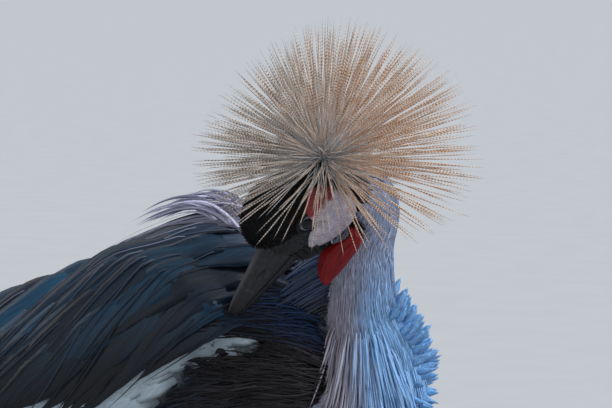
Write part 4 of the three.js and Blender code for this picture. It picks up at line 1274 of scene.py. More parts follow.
def coverts(side, label):
    """White coverts, painted pale grey-blue as painted shade, in tiers over the wing bed, small along the
    front, longer behind, the innermost straw.
    """
    rng = np.random.default_rng(303 + side)
    tiers = [
        (-44, 12, 74, 9.4, 10.2), (-16, 12, 64, 9.4, 11.0), (10, 12, 54, 9.2, 11.7), (30, 13, 46, 8.8, 12.0),
        (46, 14, 40, 8.2, 12.0), (60, 14, 34, 7.4, 11.6), (72, 13, 29, 6.8, 11.0), (82, 12, 25, 6.0, 10.2),
        (90, 10, 22, 5.2, 9.2),
    ]
    data = []
    for front, count, long, half, lift in tiers:
        s = (np.arange(count) + 0.5) / count
        turn = mix(covert_upper(front), wing_lower(front), s)
        data.append(np.stack([front + 0 * s, turn, long + 0 * s, half + 0 * s, lift + 0 * s, s], -1))
    x, turn, length, half, lift, s = np.vstack(data).T
    x = x + rng.uniform(-2, 2, len(x))
    open_part = (x < 20) | ((turn < patch_low(x) + 3) & (turn > patch_top(x) + 1))
    x, turn, length, half, lift, s = (row[open_part] for row in (x, turn, length, half, lift, s))
    length = scattered(rng, length, 0.08)
    steps = 14
    drop = rng.uniform(-1, 3, len(x))
    t = along_steps(steps)
    xs = x[:, None] - length[:, None] * t
    turns = side * (turn[:, None] + drop[:, None] * t)
    rise = mix(lift[:, None] - 6.0, lift[:, None], smooth(t, 0, 0.35)) - 1.4 * smooth(t, 0.5, 1)
    centre, normal = on_surface(fold_point, xs, turns, rise)
    width = scattered(rng, half, 0.06)[:, None] * paddle(t, 0.8)
    # Pale grey-blue for the white coverts: painted shade.
    tint = COVERT_IN_SHADE * rng.uniform(0.95, 1.03, (len(x), 1))
    golden = (smooth(s, 0.3, 0.0) * smooth(x, 10, -40) * rng.uniform(0.3, 1, len(x)))[:, None]
    tint = mix(tint, STRAW, golden)
    root = bake_root(x, (-100, 100), turn, (20, 120))
    made = feathers(
        f"wing_{label}_coverts", centre, normal, ragged(rng, width, len(x), steps, 0.02), tint, root,
        covert_finish, thick=0.3, cup=0.05, section=BROAD,
    )
    finish_piece(made, "white_coverts")


def long_feathers(name, side, x, turn, length, drop, half, lift, shade, replaced, slot, tip=0.93):
    """A row of long flight feathers on the folded wing."""
    rng = np.random.default_rng(len(name) + 7 * side)
    steps = 30
    t = along_steps(steps)
    xs = x[:, None] - length[:, None] * t
    turns = side * (turn[:, None] + drop[:, None] * t)
    rise = lift[:, None] + 0 * t
    centre, normal = on_surface(fold_point, xs, turns, rise)
    lean = unit(normal + 0.10 * side * np.cross(normal, unit(np.gradient(centre, axis=1))))
    width = half * (0.62 + 0.38 * smooth(t, 0, 0.3)) * np.sqrt(np.clip((1 - t) / (1 - tip), 0, 1))
    width = width * np.clip(t * 12, 0, 1) + 0 * x[:, None]
    both = ragged(rng, width, len(x), steps, 0.02)
    both[..., 0] *= 1.12
    both[..., 1] *= 0.88
    tint = shade * rng.uniform(0.8, 1.25, (len(x), 1))
    root = bake_root(x, (-110, -60), turn, (20, 120))
    made = feathers(name, centre, lean, both, tint, root, flight_finish, thick=0.8, cup=0.1, section=BROAD)
    finish_piece(made, slot, replaced)


def wing(side, label):
    wing_bed(side, label)
    coverts(side, label)
    turn = np.linspace(26, 92, SECONDARIES)
    share = np.linspace(0, 1, SECONDARIES)
    length = 226 + 40 * np.sin(np.pi * mix(0.12, 0.92, share))
    long_feathers(
        f"wing_{label}_inner_flight", side, -66 - 3 * share, turn, length, mix(-13, 0, share), 10.5,
        mix(9.4, 6.6, share), MAROON, f"wing_{label}_secondaries", "chestnut_feathers",
    )
    turn = np.linspace(58, 90, PRIMARIES)
    share = np.linspace(0, 1, PRIMARIES)
    length = 300 + 16 * np.sin(np.pi * mix(0.2, 0.95, share))
    long_feathers(
        f"wing_{label}_outer_flight", side, -68 - 4 * share, turn, length, 0 * share, 9.5,
        mix(4.6, 2.2, share), SOOT, f"wing_{label}_primaries", "black_feathers",
    )


TAIL_ROOT = np.array((-196.0, 0.0, 429.0))
TAIL_SLOPE = 20
TAIL_LENGTH = 212


def tail():
    """Twelve black tail feathers, fanned and stacked, with short coverts over and under their roots."""
    rng = np.random.default_rng(404)
    slope = math.radians(TAIL_SLOPE)
    back = np.array((-math.cos(slope), 0, -math.sin(slope)))
    up = np.array((-math.sin(slope), 0, math.cos(slope)))
    across = np.array((0.0, 1.0, 0.0))
    steps = 30
    t = along_steps(steps)
    i = np.tile(np.arange(6), 2)[:, None]
    side = np.repeat([LEFT, RIGHT], 6)[:, None]
    fan = np.radians(side * (1.5 + 2.7 * i))
    run = 8 + TAIL_LENGTH * (1 - 0.012 * i * i) * t
    offset = side * (2.2 + 1.6 * i)
    level = 2.4 - 1.5 * i - np.where(side == RIGHT, 0.75, 0) - 6 * t * t
    flat = run * np.cos(fan) - offset * np.sin(fan), run * np.sin(fan) + offset * np.cos(fan)
    centre = TAIL_ROOT + flat[0][..., None] * back + flat[1][..., None] * across + level[..., None] * up
    normal = np.broadcast_to(up, centre.shape)
    width = 11 * (0.45 + 0.55 * smooth(t, 0, 0.45)) * np.sqrt(np.clip((1 - t) / 0.08, 0, 1)) + 0 * i
    tint = SOOT * rng.uniform(0.7, 1.2, (12, 1))
    root = bake_root(side[:, 0] * i[:, 0], (-6, 6), 0 * i[:, 0], (0, 1))
    made = feathers(
        "tail_feathers", centre, normal, ragged(rng, width, 12, steps, 0.02), tint, root, flight_finish,
        thick=0.8, cup=0.06, section=BROAD,
    )
    finish_piece(made, "black_feathers", "tail")

    count = TAIL_COVERTS
    along = rng.uniform(-30, 60, count)
    angle = rng.uniform(0, 2 * np.pi, count)
    size = mix(1.0, 0.55, smooth(along, 0, 60))
    base = np.stack([along, 17 * size * np.cos(angle), 11 * size * np.sin(angle)], -1)
    out = unit(np.stack([0 * along, np.cos(angle) / 17, np.sin(angle) / 11], -1))
    length = rng.uniform(40, 66, count)
    steps = 8
    t = np.linspace(0, 1, steps)[None, :, None]
    local = base[:, None] + np.array((1.0, 0, 0)) * length[:, None, None] * t + out[:, None] * 3.2 * t
    local[..., 1] *= 1 + 0.35 * t[..., 0]
    centre = TAIL_ROOT + local[..., :1] * back + local[..., 1:2] * across + local[..., 2:] * up
    normal = (out[:, 1:2] * across + out[:, 2:] * up)[:, None].repeat(steps, 1)
    width = rng.uniform(3.4, 5.2, count)[:, None] * lance(t[..., 0], 0.5, 0.6)
    tint = mix(SLATE, BELLY, rng.uniform(0.1, 0.5, (count, 1))) * rng.uniform(0.6, 1.1, (count, 1))
    root = bake_root(along, (-30, 60), angle, (0, 2 * np.pi))
    made = feathers("tail_coverts", centre, normal, width, tint, root, belly_finish, thick=0.5, cup=0.15)
    finish_piece(made, "slate_feathers")


# The neck


def neck_tint(outward_way, share, rng):
    """Grey-mauve behind and on the bird's left; sky-blue in front and to its right, painted light where it
    faces the key light; paler under the head.
    """
    light = np.array((0.93, -0.30, 0.2))
    facing = (outward_way * light).sum(-1)
    # blue: painted light, strongest where the plume faces the key light.
    blue = smooth(facing, -0.1, 0.75)[..., None]
    blue = np.clip(blue + 0.18 * (rng.uniform(-1, 1, blue.shape)), 0, 1)
    shade = mix(NECK_MAUVE, NECK_LIT_BLUE, blue)
    shade = mix(shade, NECK_PALE, 0.75 * smooth(share, 0.55, 0.85).reshape(blue.shape))
    return shade * rng.uniform(0.76, 1.16, shade.shape[:-1] + (1,))


def neck_plumes():
    """Fine hair-like plumes from the nape to the chest, drawn into clumps, longer further down."""
    rng = np.random.default_rng(505)
    count = NECK_PLUMES
    share = rng.uniform(0.16, 0.985, count)
    turn = rng.uniform(0, 360, count)
    keep = rng.uniform(0, 1, count) < (neck_radius(share) / 44)
    share, turn = share[keep], turn[keep]
    start = neck_point(share, turn, np.zeros(len(share)))
    under = to_head(start)
    chin = (under[:, 2] < -10) & (under[:, 0] > -22) & (throat_end(start) < -2)
    inside = head_depth(start, 0.0) < np.where(chin, 1.25, 0.96)
    share, turn = share[~inside], turn[~inside]
    count = len(share)
    length = mix(24.0, 50.0, smooth(share, 0.8, 0.3)) * rng.uniform(0.75, 1.25, count)
    steps = 6
    t = along_steps(steps)
    shares = share[:, None] - length[:, None] * t / NECK_LENGTH
    pitch = 13.0
    clump = np.round((turn + 5 * np.sin(share * 35)) / pitch) * pitch
    pull = np.clip(clump - turn, -7, 7)[:, None] * smooth(t, 0.3, 1.0)
    pull = pull * (0.2 + 0.4 * smooth(share, 0.5, 0.2))[:, None]
    turns = turn[:, None] + pull + rng.uniform(-3, 3, (count, 1)) * t
    low = smooth(share, 0.45, 0.22)[:, None]
    tip = rng.uniform(-2.9, -2.1, (count, 1)) + 2.2 * low * rng.uniform(0.3, 1, (count, 1))
    lift = mix(-4.6, tip, smooth(t, 0, 0.5))
    centre, normal = on_surface(neck_point, shares, turns, lift)
    centre[..., 2] -= np.clip(-shares, 0, 1) * NECK_LENGTH
    width = rng.uniform(0.28, 0.55, count)[:, None] * lance(t, 0.35, 0.3)
    width = width * mix(1.0, 1.4, smooth(share, 0.6, 0.3))[:, None]
    # The tint carries neck_tint's painted light on the side facing the key light.
    tint = neck_tint(normal[:, 3], share, rng) * 1.08
    root = bake_root(share, (0.1, 1), turn, (0, 360))
    for name, pick, nodes in (
        ("neck_plumes_upper", share > 0.6, ("neck_upper",)),
        ("neck_plumes_middle", (share <= 0.6) & (share > 0.36), ("neck_middle",)),
        ("neck_plumes_lower", share <= 0.36, ("neck_lower",)),
    ):
        made = feathers(
            name, centre[pick], normal[pick], width[pick], tint[pick], root[pick], neck_finish,
            thick=0.35, cup=0.0, section=STRAND,
        )
        finish_piece(made, "grey_neck_feathers", *nodes)


def ruff():
    """Long fine plumes that hang from the base of the neck over the chest, dark ones that sweep back over the
    breast, and a raised tuft of short pointed ones in front."""
    rng = np.random.default_rng(606)
    count = RUFF_PLUMES
    share = rng.uniform(0.16, 0.5, count)
    bearing = rng.uniform(-165, 165, count)
    out, start = neck_base(share, bearing)
    along = along_table(neck_along, share)
    down = unit(-along + np.array((0, 0, -0.5)))
    fan = smooth(-out[:, 1], 0.35, 0.85) * rng.uniform(0, 1, count)
    stand = (rng.uniform(-0.02, 0.08, count) + 0.34 * fan)[:, None]
    length = mix(64.0, 44.0, smooth(share, 0.2, 0.5)) * rng.uniform(0.75, 1.2, count)
    # Their tint takes neck_tint's painted light, sky-blue where they face the key light.
    plumes_from(
        "ruff_plumes", rng, start, out, down + out * stand, out * stand * 1.5, length,
        rng.uniform(0.5, 1.15, count), neck_tint(out, share, rng), 0.5,
    )
    count = COLLAR_PLUMES
    share = rng.uniform(0.22, 0.66, count)
    bearing = rng.uniform(132, 180, count) * rng.choice([LEFT, RIGHT], count)
    out, start = neck_base(share, bearing)
    back = np.array((-1.0, 0, -0.55)) + rng.uniform(-0.12, 0.12, (count, 3))
    back = back + 0.25 * out * np.array((0, 1, 0))
    blue = (smooth(share, 0.46, 0.64) * rng.uniform(0.3, 1, count))[:, None]
    tint = mix(BREAST * rng.uniform(0.7, 2.0, (count, 1)), BREAST_BLUE, blue)
    plumes_from(
        "collar_plumes", rng, start, out, back, np.array((-0.2, 0, -0.35)) + 0 * out,
        rng.uniform(26, 46, count), rng.uniform(0.5, 1.1, count), tint, 0.6,
    )
    count = TUFT_PLUMES
    place_in_tuft = np.sort(rng.uniform(0, 1, count))
    share = mix(0.27, 0.50, place_in_tuft)
    bearing = rng.normal(4, 15, count)
    out, start = neck_base(share, bearing)
    rise = mix(-0.15, 1.5, place_in_tuft + rng.uniform(-0.12, 0.12, count))[:, None] * np.array((0, 0, 1.0))
    # The tuft's sky-blue is painted light on the lit ruff.
    tint = mix(NECK_LIT_BLUE, RUFF_LIT_BLUE, rng.uniform(0.2, 1, (count, 1))) * rng.uniform(0.9, 1.15, (count, 1))
    plumes_from(
        "ruff_tuft", rng, start - out * 5, out, out + rise, np.array((0, 0, 0.25)) + 0 * out,
        rng.uniform(13, 19, count), rng.uniform(2.0, 3.0, count), tint, 0.9,
    )


def neck_base(share, bearing):
    """Outward ways and root places round the base of the neck; bearing is 0 to the front."""
    out = np.stack([np.cos(np.radians(bearing)), np.sin(np.radians(bearing)), 0 * bearing], -1)
    along = along_table(neck_along, share)
    out = unit(out - along * (out * along).sum(-1, keepdims=True))
    return out, along_table(neck_line, share) + out * (neck_radius(share) - 5)[:, None]


def plumes_from(name, rng, start, out, way, turn_to, length, half, tint, broadside):
    """Plumes that leave start along way and bend towards turn_to by their tips, their flat sides turned by
    broadside towards the bird's side."""
    count, steps = len(start), 9
    t = np.linspace(0, 1, steps)[None, :, None]
    line = unit(way[:, None] + turn_to[:, None] * t)
    step = length[:, None, None] / (steps - 1)
    centre = start[:, None] + np.concatenate([np.zeros((count, 1, 3)), np.cumsum(line[:, 1:] * step, 1)], 1)
    centre = centre + out[:, None] * 4.0 * smooth(t, 0, 0.35)
    beside = np.where(out[:, 1:2] > 0.2, 1.0, -1.0) * np.array((0, 1.0, 0.35))
    normal = unit(mix(out, beside, broadside)[:, None] + np.array((0, 0, 0.3)) + 0 * centre)
    width = half[:, None] * lance(t[..., 0], 0.45, 0.3)
    root = bake_root(start[:, 2], (440, 600), np.degrees(np.arctan2(out[:, 1], out[:, 0])), (-180, 180))
    half = ragged(rng, width, count, steps, 0.15)
    made = feathers(name, centre, normal, half, tint, root, ruff_finish, thick=0.4, cup=0.1)
    finish_piece(made, "grey_neck_feathers")


# The thighs


def thigh_feathers():
    rng = np.random.default_rng(707)
    for side, label in SIDES:
        count = THIGH_FEATHERS
        share = rng.uniform(0.0, 0.98, count)
        turn = rng.uniform(0, 360, count)
        line = thigh_line(side)
        across, other = line_ways(line)

        def thigh_point(s, a, lift):
            flat = np.clip(s, 0, 1).ravel()
            centre, u, v = (along_table(table, flat).reshape(*s.shape, 3) for table in (line, across, other))
            onwards = unit(np.array(HOCK) - np.array(THIGH_END))
            beyond = np.clip(s - 1, 0, 1)[..., None] * THIGH_LENGTH * onwards
            a = np.radians(a)[..., None]
            size = (THIGH_RADIUS(s) + lift)[..., None]
            return centre + beyond + size * (np.cos(a) * u + np.sin(a) * v)

        steps = 8
        t = along_steps(steps)
        length = rng.uniform(22, 34, count) + 8 * smooth(share, 0.15, 0.0)
        shares = share[:, None] + length[:, None] * t / THIGH_LENGTH
        turns = turn[:, None] + 6 * rng.uniform(-1, 1, (count, 1)) * t
        tip = rng.uniform(0.4, 2.2, (count, 1)) - 3.6 * smooth(shares, 1.0, 1.2)
        lift = mix(-2.4, tip, smooth(t, 0, 0.4))
        centre, normal = on_surface(thigh_point, shares, turns, lift)
        width = rng.uniform(2.6, 4.2, count)[:, None] * mix(1, 0.6, smooth(share, 0.5, 1))[:, None]
        width = width * lance(t, 0.45, 0.5)
        tint = mix(BELLY, SLATE, rng.uniform(0.1, 0.5, (count, 1))) * rng.uniform(0.7, 1.1, (count, 1))
        root = bake_root(share, (0, 1), turn, (0, 360))
        made = feathers(
            f"thigh_{label}_feathers", centre, normal, ragged(rng, width, count, steps, 0.15), tint, root,
            belly_finish, thick=0.5, cup=0.15,
        )
        finish_piece(made, "slate_feathers", f"thigh_{label}")


# Geometry Nodes trees


class Tree(NodeMaker):
    """A Geometry Nodes tree under construction, with named inputs."""

    def __init__(self, name, inputs):
        self.tree = bpy.data.node_groups.new(name, "GeometryNodeTree")
        face = self.tree.interface
        face.new_socket("Geometry", in_out="OUTPUT", socket_type="NodeSocketGeometry")
        face.new_socket("Geometry", in_out="INPUT", socket_type="NodeSocketGeometry")
        for key, (kind, value) in inputs.items():
            socket = face.new_socket(key, in_out="INPUT", socket_type=kind)
            if value is not None:
                socket.default_value = value
        self.start = self.tree.nodes.new("NodeGroupInput")
        self.end = self.tree.nodes.new("NodeGroupOutput")

    def given(self, name):
        return self.start.outputs[name]

    def named(self, name, kind):
        made = self.node("GeometryNodeInputNamedAttribute", {"Name": name}, data_type=kind)
        return next(s for s in made.outputs if s.enabled and s.name == "Attribute")

    def finish(self, geometry):
        self.tree.links.new(geometry, self.end.inputs[0])

    def use(self, made, values):
        """Puts the tree on an object, its inputs set by identifier before it is first evaluated."""
        modifier = made.modifiers.new(self.tree.name, "NODES")
        modifier.node_group = self.tree
        for item in self.tree.interface.items_tree:
            if item.item_type == "SOCKET" and item.in_out == "INPUT" and item.name in values:
                modifier[item.identifier] = values[item.name]


def spread_tree():
    """One small shape on each point of a mesh, its Z along the point's way, with its size and spin."""
    tree = Tree("shape_on_points", {
        "Shape": ("NodeSocketObject", None),
        "Material": ("NodeSocketMaterial", None),
        "Bake patch": ("NodeSocketFloat", BAKE_PATCH),
    })
    shape = tree.node("GeometryNodeObjectInfo", {"Object": tree.given("Shape")}, transform_space="ORIGINAL")
    points = tree.node("GeometryNodeMeshToPoints", {"Mesh": tree.given("Geometry")})
    aligned = tree.node(
        "FunctionNodeAlignRotationToVector", {"Vector": tree.named("way", "FLOAT_VECTOR")}, axis="Z",
    )
    spin = tree.node("ShaderNodeCombineXYZ", {2: tree.named("spin", "FLOAT")})
    turned = tree.node("FunctionNodeEulerToRotation", {0: spin.outputs[0]})
    both = tree.node(
        "FunctionNodeRotateRotation", {0: aligned.outputs[0], 1: turned.outputs[0]}, rotation_space="LOCAL",
    )
    placed = tree.node("GeometryNodeInstanceOnPoints", {
        "Points": points.outputs[0], "Instance": shape.outputs["Geometry"], "Rotation": both.outputs[0],
        "Scale": tree.named("size", "FLOAT_VECTOR"),
    })
    real = tree.node("GeometryNodeRealizeInstances", {0: placed.outputs[0]})
    vane = tree.named("vane", "FLOAT_VECTOR")
    centred = tree.node("ShaderNodeVectorMath", {0: vane, 1: (0.5, 0.5, 0)}, operation="SUBTRACT")
    patch_size = tree.given("Bake patch")
    small = tree.node("ShaderNodeVectorMath", {0: centred.outputs[0], "Scale": patch_size}, operation="SCALE")
    root = tree.named("root", "FLOAT_VECTOR")
    spot = tree.node("ShaderNodeVectorMath", {0: root, 1: small.outputs[0]}, operation="ADD")
    stored = tree.node("GeometryNodeStoreNamedAttribute", {
        "Geometry": real.outputs[0], "Name": "OFBake", "Value": spot.outputs[0],
    }, data_type="FLOAT2", domain="CORNER")
    material = tree.given("Material")
    done = tree.node("GeometryNodeSetMaterial", {"Geometry": stored.outputs[0], "Material": material})
    tree.finish(done.outputs[0])
    return tree


def spread_shapes(name, tree, shape, material, points, way, size, spin, root, extras):
    """Runs the tree over points in millimetres and returns the plain mesh it makes."""
    source = bpy.data.meshes.new(name + "_points")
    source.vertices.add(len(points))
    source.vertices.foreach_set("co", np.ascontiguousarray(place(points), np.float32).ravel())
    set_floats(source, "way", way, "FLOAT_VECTOR")
    set_floats(source, "size", size, "FLOAT_VECTOR")
    set_floats(source, "spin", spin)
    set_floats(source, "root", np.hstack([root, np.zeros((len(root), 1))]), "FLOAT_VECTOR")
    set_floats(source, "seed", np.random.default_rng(len(points)).uniform(0, 1, len(points)))
    for key, values in extras.items():
        set_floats(source, key, values, "FLOAT" if values.ndim == 1 else "FLOAT_COLOR")
    holder = new_object(name + "_points", source)
    tree.use(holder, {"Shape": shape, "Material": material})
    made = evaluated(holder, name)
    for extra in ("way", "size", "spin", "root"):
        if extra in made.data.attributes:
            made.data.attributes.remove(made.data.attributes[extra])
    shade_smooth(made.data)
    if not made.data.materials:
        made.data.materials.append(material)
    return made


def small_shape(name, rings, sides, radius, twist):
    """A closed bristle one unit long up Z, twisted by so many degrees a ring, for the tree to copy."""
    t = np.linspace(0, 1, rings + 2)[1:-1]
    a = np.radians(ring_angles(sides))[None]
    size = radius(t)[:, None]
    x, y = np.cos(a), np.sin(a)
    turn = np.radians(twist) * np.arange(rings)[:, None]
    ring = np.stack([
        size * (x * np.cos(turn) - y * np.sin(turn)),
        size * (x * np.sin(turn) + y * np.cos(turn)),
        t[:, None] + 0 * a,
    ], -1)
    points = np.vstack([[(0, 0, 0)], ring.reshape(-1, 3), [(0, 0, 1)]])
    faces = outward(points, tube_faces(rings, sides))
    made = mesh_object(name, points, faces)
    u = np.concatenate([[0.5], np.tile(np.arange(sides) / sides, rings), [0.5]])
    v = np.concatenate([[0], np.repeat(t, sides), [1]])
    set_uv(made.data, "vane", np.stack([u, v], -1))
    return made


# The head


def surface_samples(points, triangles, normals, pick, count, rng):
    """Random places on the picked triangles, even by area, with their normals."""
    chosen = triangles[pick]
    a, b, c = (points[chosen[:, i]] for i in range(3))
    area = np.linalg.norm(np.cross(b - a, c - a), axis=1)
    index = rng.choice(len(chosen), count, p=area / area.sum())
    u, v = rng.uniform(0, 1, (2, count, 1))
    flip = (u + v) > 1
    u, v = np.where(flip, 1 - u, u), np.where(flip, 1 - v, v)
    spot = a[index] + u * (b - a)[index] + v * (c - a)[index]
    way = unit(sum(normals[chosen[index, i]] for i in range(3)))
    return spot, way


def in_cheek(q, margin):
    """True where a place on the side of the head lies in the bare cheek's outline, grown by margin."""
    outline = smooth_outline(120)
    middle = np.array(CHEEK_MIDDLE)
    d = q[:, [0, 2]] - middle
    angle = np.arctan2(d[:, 1], d[:, 0])
    rim = outline - middle
    rim_angle = np.arctan2(rim[:, 1], rim[:, 0])
    order = np.argsort(rim_angle)
    reach = np.interp(angle, rim_angle[order], np.linalg.norm(rim, axis=1)[order], period=2 * np.pi)
    return (np.linalg.norm(d, axis=1) < reach + margin) & (np.abs(q[:, 1]) > 7)


def smooth_outline(count):
    """The cheek's outline, rounded through its points."""
    pts = np.array(CHEEK_OUTLINE, float)
    looped = np.vstack([pts[-2:], pts, pts[:3]])
    line, _ = spline(np.hstack([looped, np.zeros((len(looped), 1))]), 1600)
    body = line[200:1400, :2]
    angle = np.unwrap(np.arctan2(*(body - CHEEK_MIDDLE).T[::-1]))
    want = np.linspace(angle[0], angle[0] + np.sign(angle[-1] - angle[0]) * 2 * np.pi, count, endpoint=False)
    order = np.argsort(angle)
    return np.stack([np.interp(want, angle[order], body[order, k]) for k in range(2)], -1)


def throat_end(points):
    """How far a place under the head lies behind the edge of the black throat, negative in front of it."""
    q = to_head(points)
    return -0.665 * q[:, 0] - q[:, 2] + 0.434 * np.abs(q[:, 1]) - 42.0


def velvet(skin, tree):
    """Dense short black feathers over the cushion, hind head and chin, shortest on the lores."""
    rng = np.random.default_rng(808)
    points, triangles, normals = mesh_arrays(skin)
    middles = points[triangles].mean(1)
    q = to_head(middles)
    pick = is_head(middles) & (q[:, 0] < 36)
    spot, out = surface_samples(points, triangles, normals, pick, VELVET_TUFTS, rng)
    q = to_head(spot)
    eye_gap = np.linalg.norm((q - EYE)[:, [0, 2]], axis=1)
    near_eye = (eye_gap < 5.2) & (np.abs(q[:, 1]) > 10)
    keep = ~in_cheek(q, -0.5) & ~near_eye & (q[:, 0] < 33.5)
    spot, out, q = spot[keep], out[keep], q[keep]
    back = -head_forward + 0.15 * head_up
    flow = unit(back - out * (out @ back)[:, None])
    brow = np.interp(q[:, 0], (-2, 8, 14, 27, 34), (3, 6, 8, 15, 18))
    lores = smooth(q[:, 2], brow + 1, brow - 1) * smooth(q[:, 0], 0, 7)
    length = mix(4.0, 1.7, lores) * rng.uniform(0.8, 1.25, len(q))
    stand = mix(0.55, 0.2, lores)
    lean = out * (stand * rng.uniform(0.7, 1.3, len(q)))[:, None]
    way = unit(flow + lean + 0.15 * rng.uniform(-1, 1, out.shape))
    thick = mix(0.5, 0.42, lores)
    size = np.stack([thick, thick, length], -1) * MM
    black = VELVET * rng.uniform(0.4, 1.6, (len(q), 1))
    grey = LORES * rng.uniform(0.5, 1.5, (len(q), 1))
    tint = mix(black, grey, lores[:, None])
    root = head_root(q)
    shape = small_shape("velvet_tuft", 3, 3, lambda t: 1.05 - 0.9 * t, 0)
    made = spread_shapes(
        "head_velvet", tree, shape, velvet_material, spot - out * 0.3, way, size,
        rng.uniform(0, FULL_SPIN, len(q)), root, {"tint": opaque(tint)},
    )
    bpy.data.objects.remove(shape)
    finish_piece(made, "velvet_feathers")


def throat(skin):
    """Longer loose black feathers under the cheek, over the chin and the root of the wattle."""
    rng = np.random.default_rng(909)
    points, triangles, normals = mesh_arrays(skin)
    middles = points[triangles].mean(1)
    q = to_head(middles)
    under = (q[:, 2] < -6) & (q[:, 0] > -26) & (q[:, 0] < 29)
    pick = (head_depth(middles, 2.0) < 1.3) & under & (throat_end(middles) < 0)
    spot, out = surface_samples(points, triangles, normals, pick, THROAT_PLUMES, rng)
    q = to_head(spot)
    keep = ~in_cheek(q, 0.5)
    spot, out, q = spot[keep], out[keep], q[keep]
    count = len(spot)
    steps = 7
    t = np.linspace(0, 1, steps)[None, :, None]
    back = unit(-0.6 * head_forward - 0.8 * head_up)
    flow = unit(back - out * (out @ back)[:, None])
    length = (rng.uniform(7, 12, count) * mix(1.0, 0.75, smooth(q[:, 0], 8, 26)))[:, None, None]
    path = flow[:, None] * t + out[:, None] * 0.3 * t * (1.2 - t)
    centre = spot[:, None] - out[:, None] * 0.4 + length * path
    fall = mix(2.2, 7.5, smooth(q[:, 0], -4, 10))[:, None, None]
    centre = centre + np.array((0, 0, -1.0)) * fall * t * t
    normal = np.broadcast_to(out[:, None], centre.shape)
    width = rng.uniform(0.5, 0.95, count)[:, None] * lance(t[..., 0], 0.35, 0.3)
    tint = VELVET * rng.uniform(0.6, 2.2, (count, 1))
    root = head_root(q)
    made = feathers(
        "throat_plumes", centre, normal, width, tint, root, throat_finish, thick=0.5, cup=0.0, section=STRAND,
    )
    finish_piece(made, "velvet_feathers", "head")


def cheek(side, label):
    """The bare cheek: a thin cushion of skin on the side of the head, rolled under at its rim."""
    around, levels = 120, 14
    rim = smooth_outline(around)
    middle = np.array(CHEEK_MIDDLE, float)
    share = np.sin(0.5 * np.pi * np.linspace(0, 1, levels + 1))[1:]
    flat = middle + share[:, None, None] * (rim - middle)
    x, z = flat[..., 0], flat[..., 1]
    inset = (1 - share**10)[:, None]
    fold = 0.35 * np.sin(0.9 * x + 0.5 * z) * np.sin(0.35 * z - 0.2 * x) + 0.2 * np.sin(2.1 * z + 0.7 * x)
    proud = mix(0.1, 1.5, inset) + fold * inset * 0.5
    top = np.stack([x, side * cheek_side(x, z, proud), z], -1)
    under = np.stack([x, side * (skull_side(x, z, 0 * x) - 1.2), z], -1)
    centre_x, centre_z = middle[:1], middle[1:]
    cap = np.array([[middle[0], side * float(cheek_side(centre_x, centre_z, 1.6)[0]), middle[1]]])
    foot = np.array([[middle[0], side * float(skull_side(centre_x, centre_z, 0)[0] - 1.2), middle[1]]])
    rings = np.concatenate([top, under[::-1]])
    points = np.vstack([cap, rings.reshape(-1, 3), foot])
    faces = outward(points, tube_faces(len(rings), around))
    made = mesh_object(f"cheek_{label}_skin", place(from_head(points)), faces, cheek_material)
    height = points[:, 2] * 0.9 - points[:, 0] * 0.25
    edge = 9.6 + 0.8 * np.sin(points[:, 0] * 0.8) + 0.5 * np.sin(points[:, 2] * 1.3)
    set_floats(made.data, "red", smooth(height, edge - 0.8, edge + 0.8))
    finish_piece(made, "bare_cheek", f"cheek_{label}")


def eye(side, label):
    """An eyeball whose map runs round the pupil and out from it, and the lids round it."""
    centre = EYE * (1, side, 1)
    out = unit(np.array(EYE_WAY) * (1, side, 1))
    first = unit(np.cross(out, (0, 0, 1)))
    second = np.cross(out, first)
    rings, around = 40, 64
    p = np.radians(np.linspace(0, 180, rings + 2)[1:-1])[:, None]
    a = np.radians(ring_angles(around))[None]
    bulge = 1 + 0.05 * smooth(np.degrees(p), 40, 10)
    way = (np.cos(p) + 0 * a)[..., None] * out + (np.sin(p) * np.cos(a))[..., None] * first \
        + (np.sin(p) * np.sin(a))[..., None] * second
    ball = centre + EYE_RADIUS * bulge[..., None] * way
    points = np.vstack([[centre + EYE_RADIUS * 1.05 * out], ball.reshape(-1, 3), [centre - EYE_RADIUS * out]])
    faces = outward(points, tube_faces(rings, around))
    made = mesh_object(f"eye_{label}_ball", place(from_head(points)), faces, eye_material)
    v = np.concatenate([[0], np.repeat(np.degrees(p[:, 0]) / 100, around), [1.8]])
    u = np.concatenate([[0.5], np.tile(np.abs(ring_angles(around) - 180) / 180, rings), [0.5]])
    set_uv(made.data, "grain", np.stack([u, v], -1))
    finish_piece(made, "eye", f"eye_{label}")
    lids(label, centre, out)


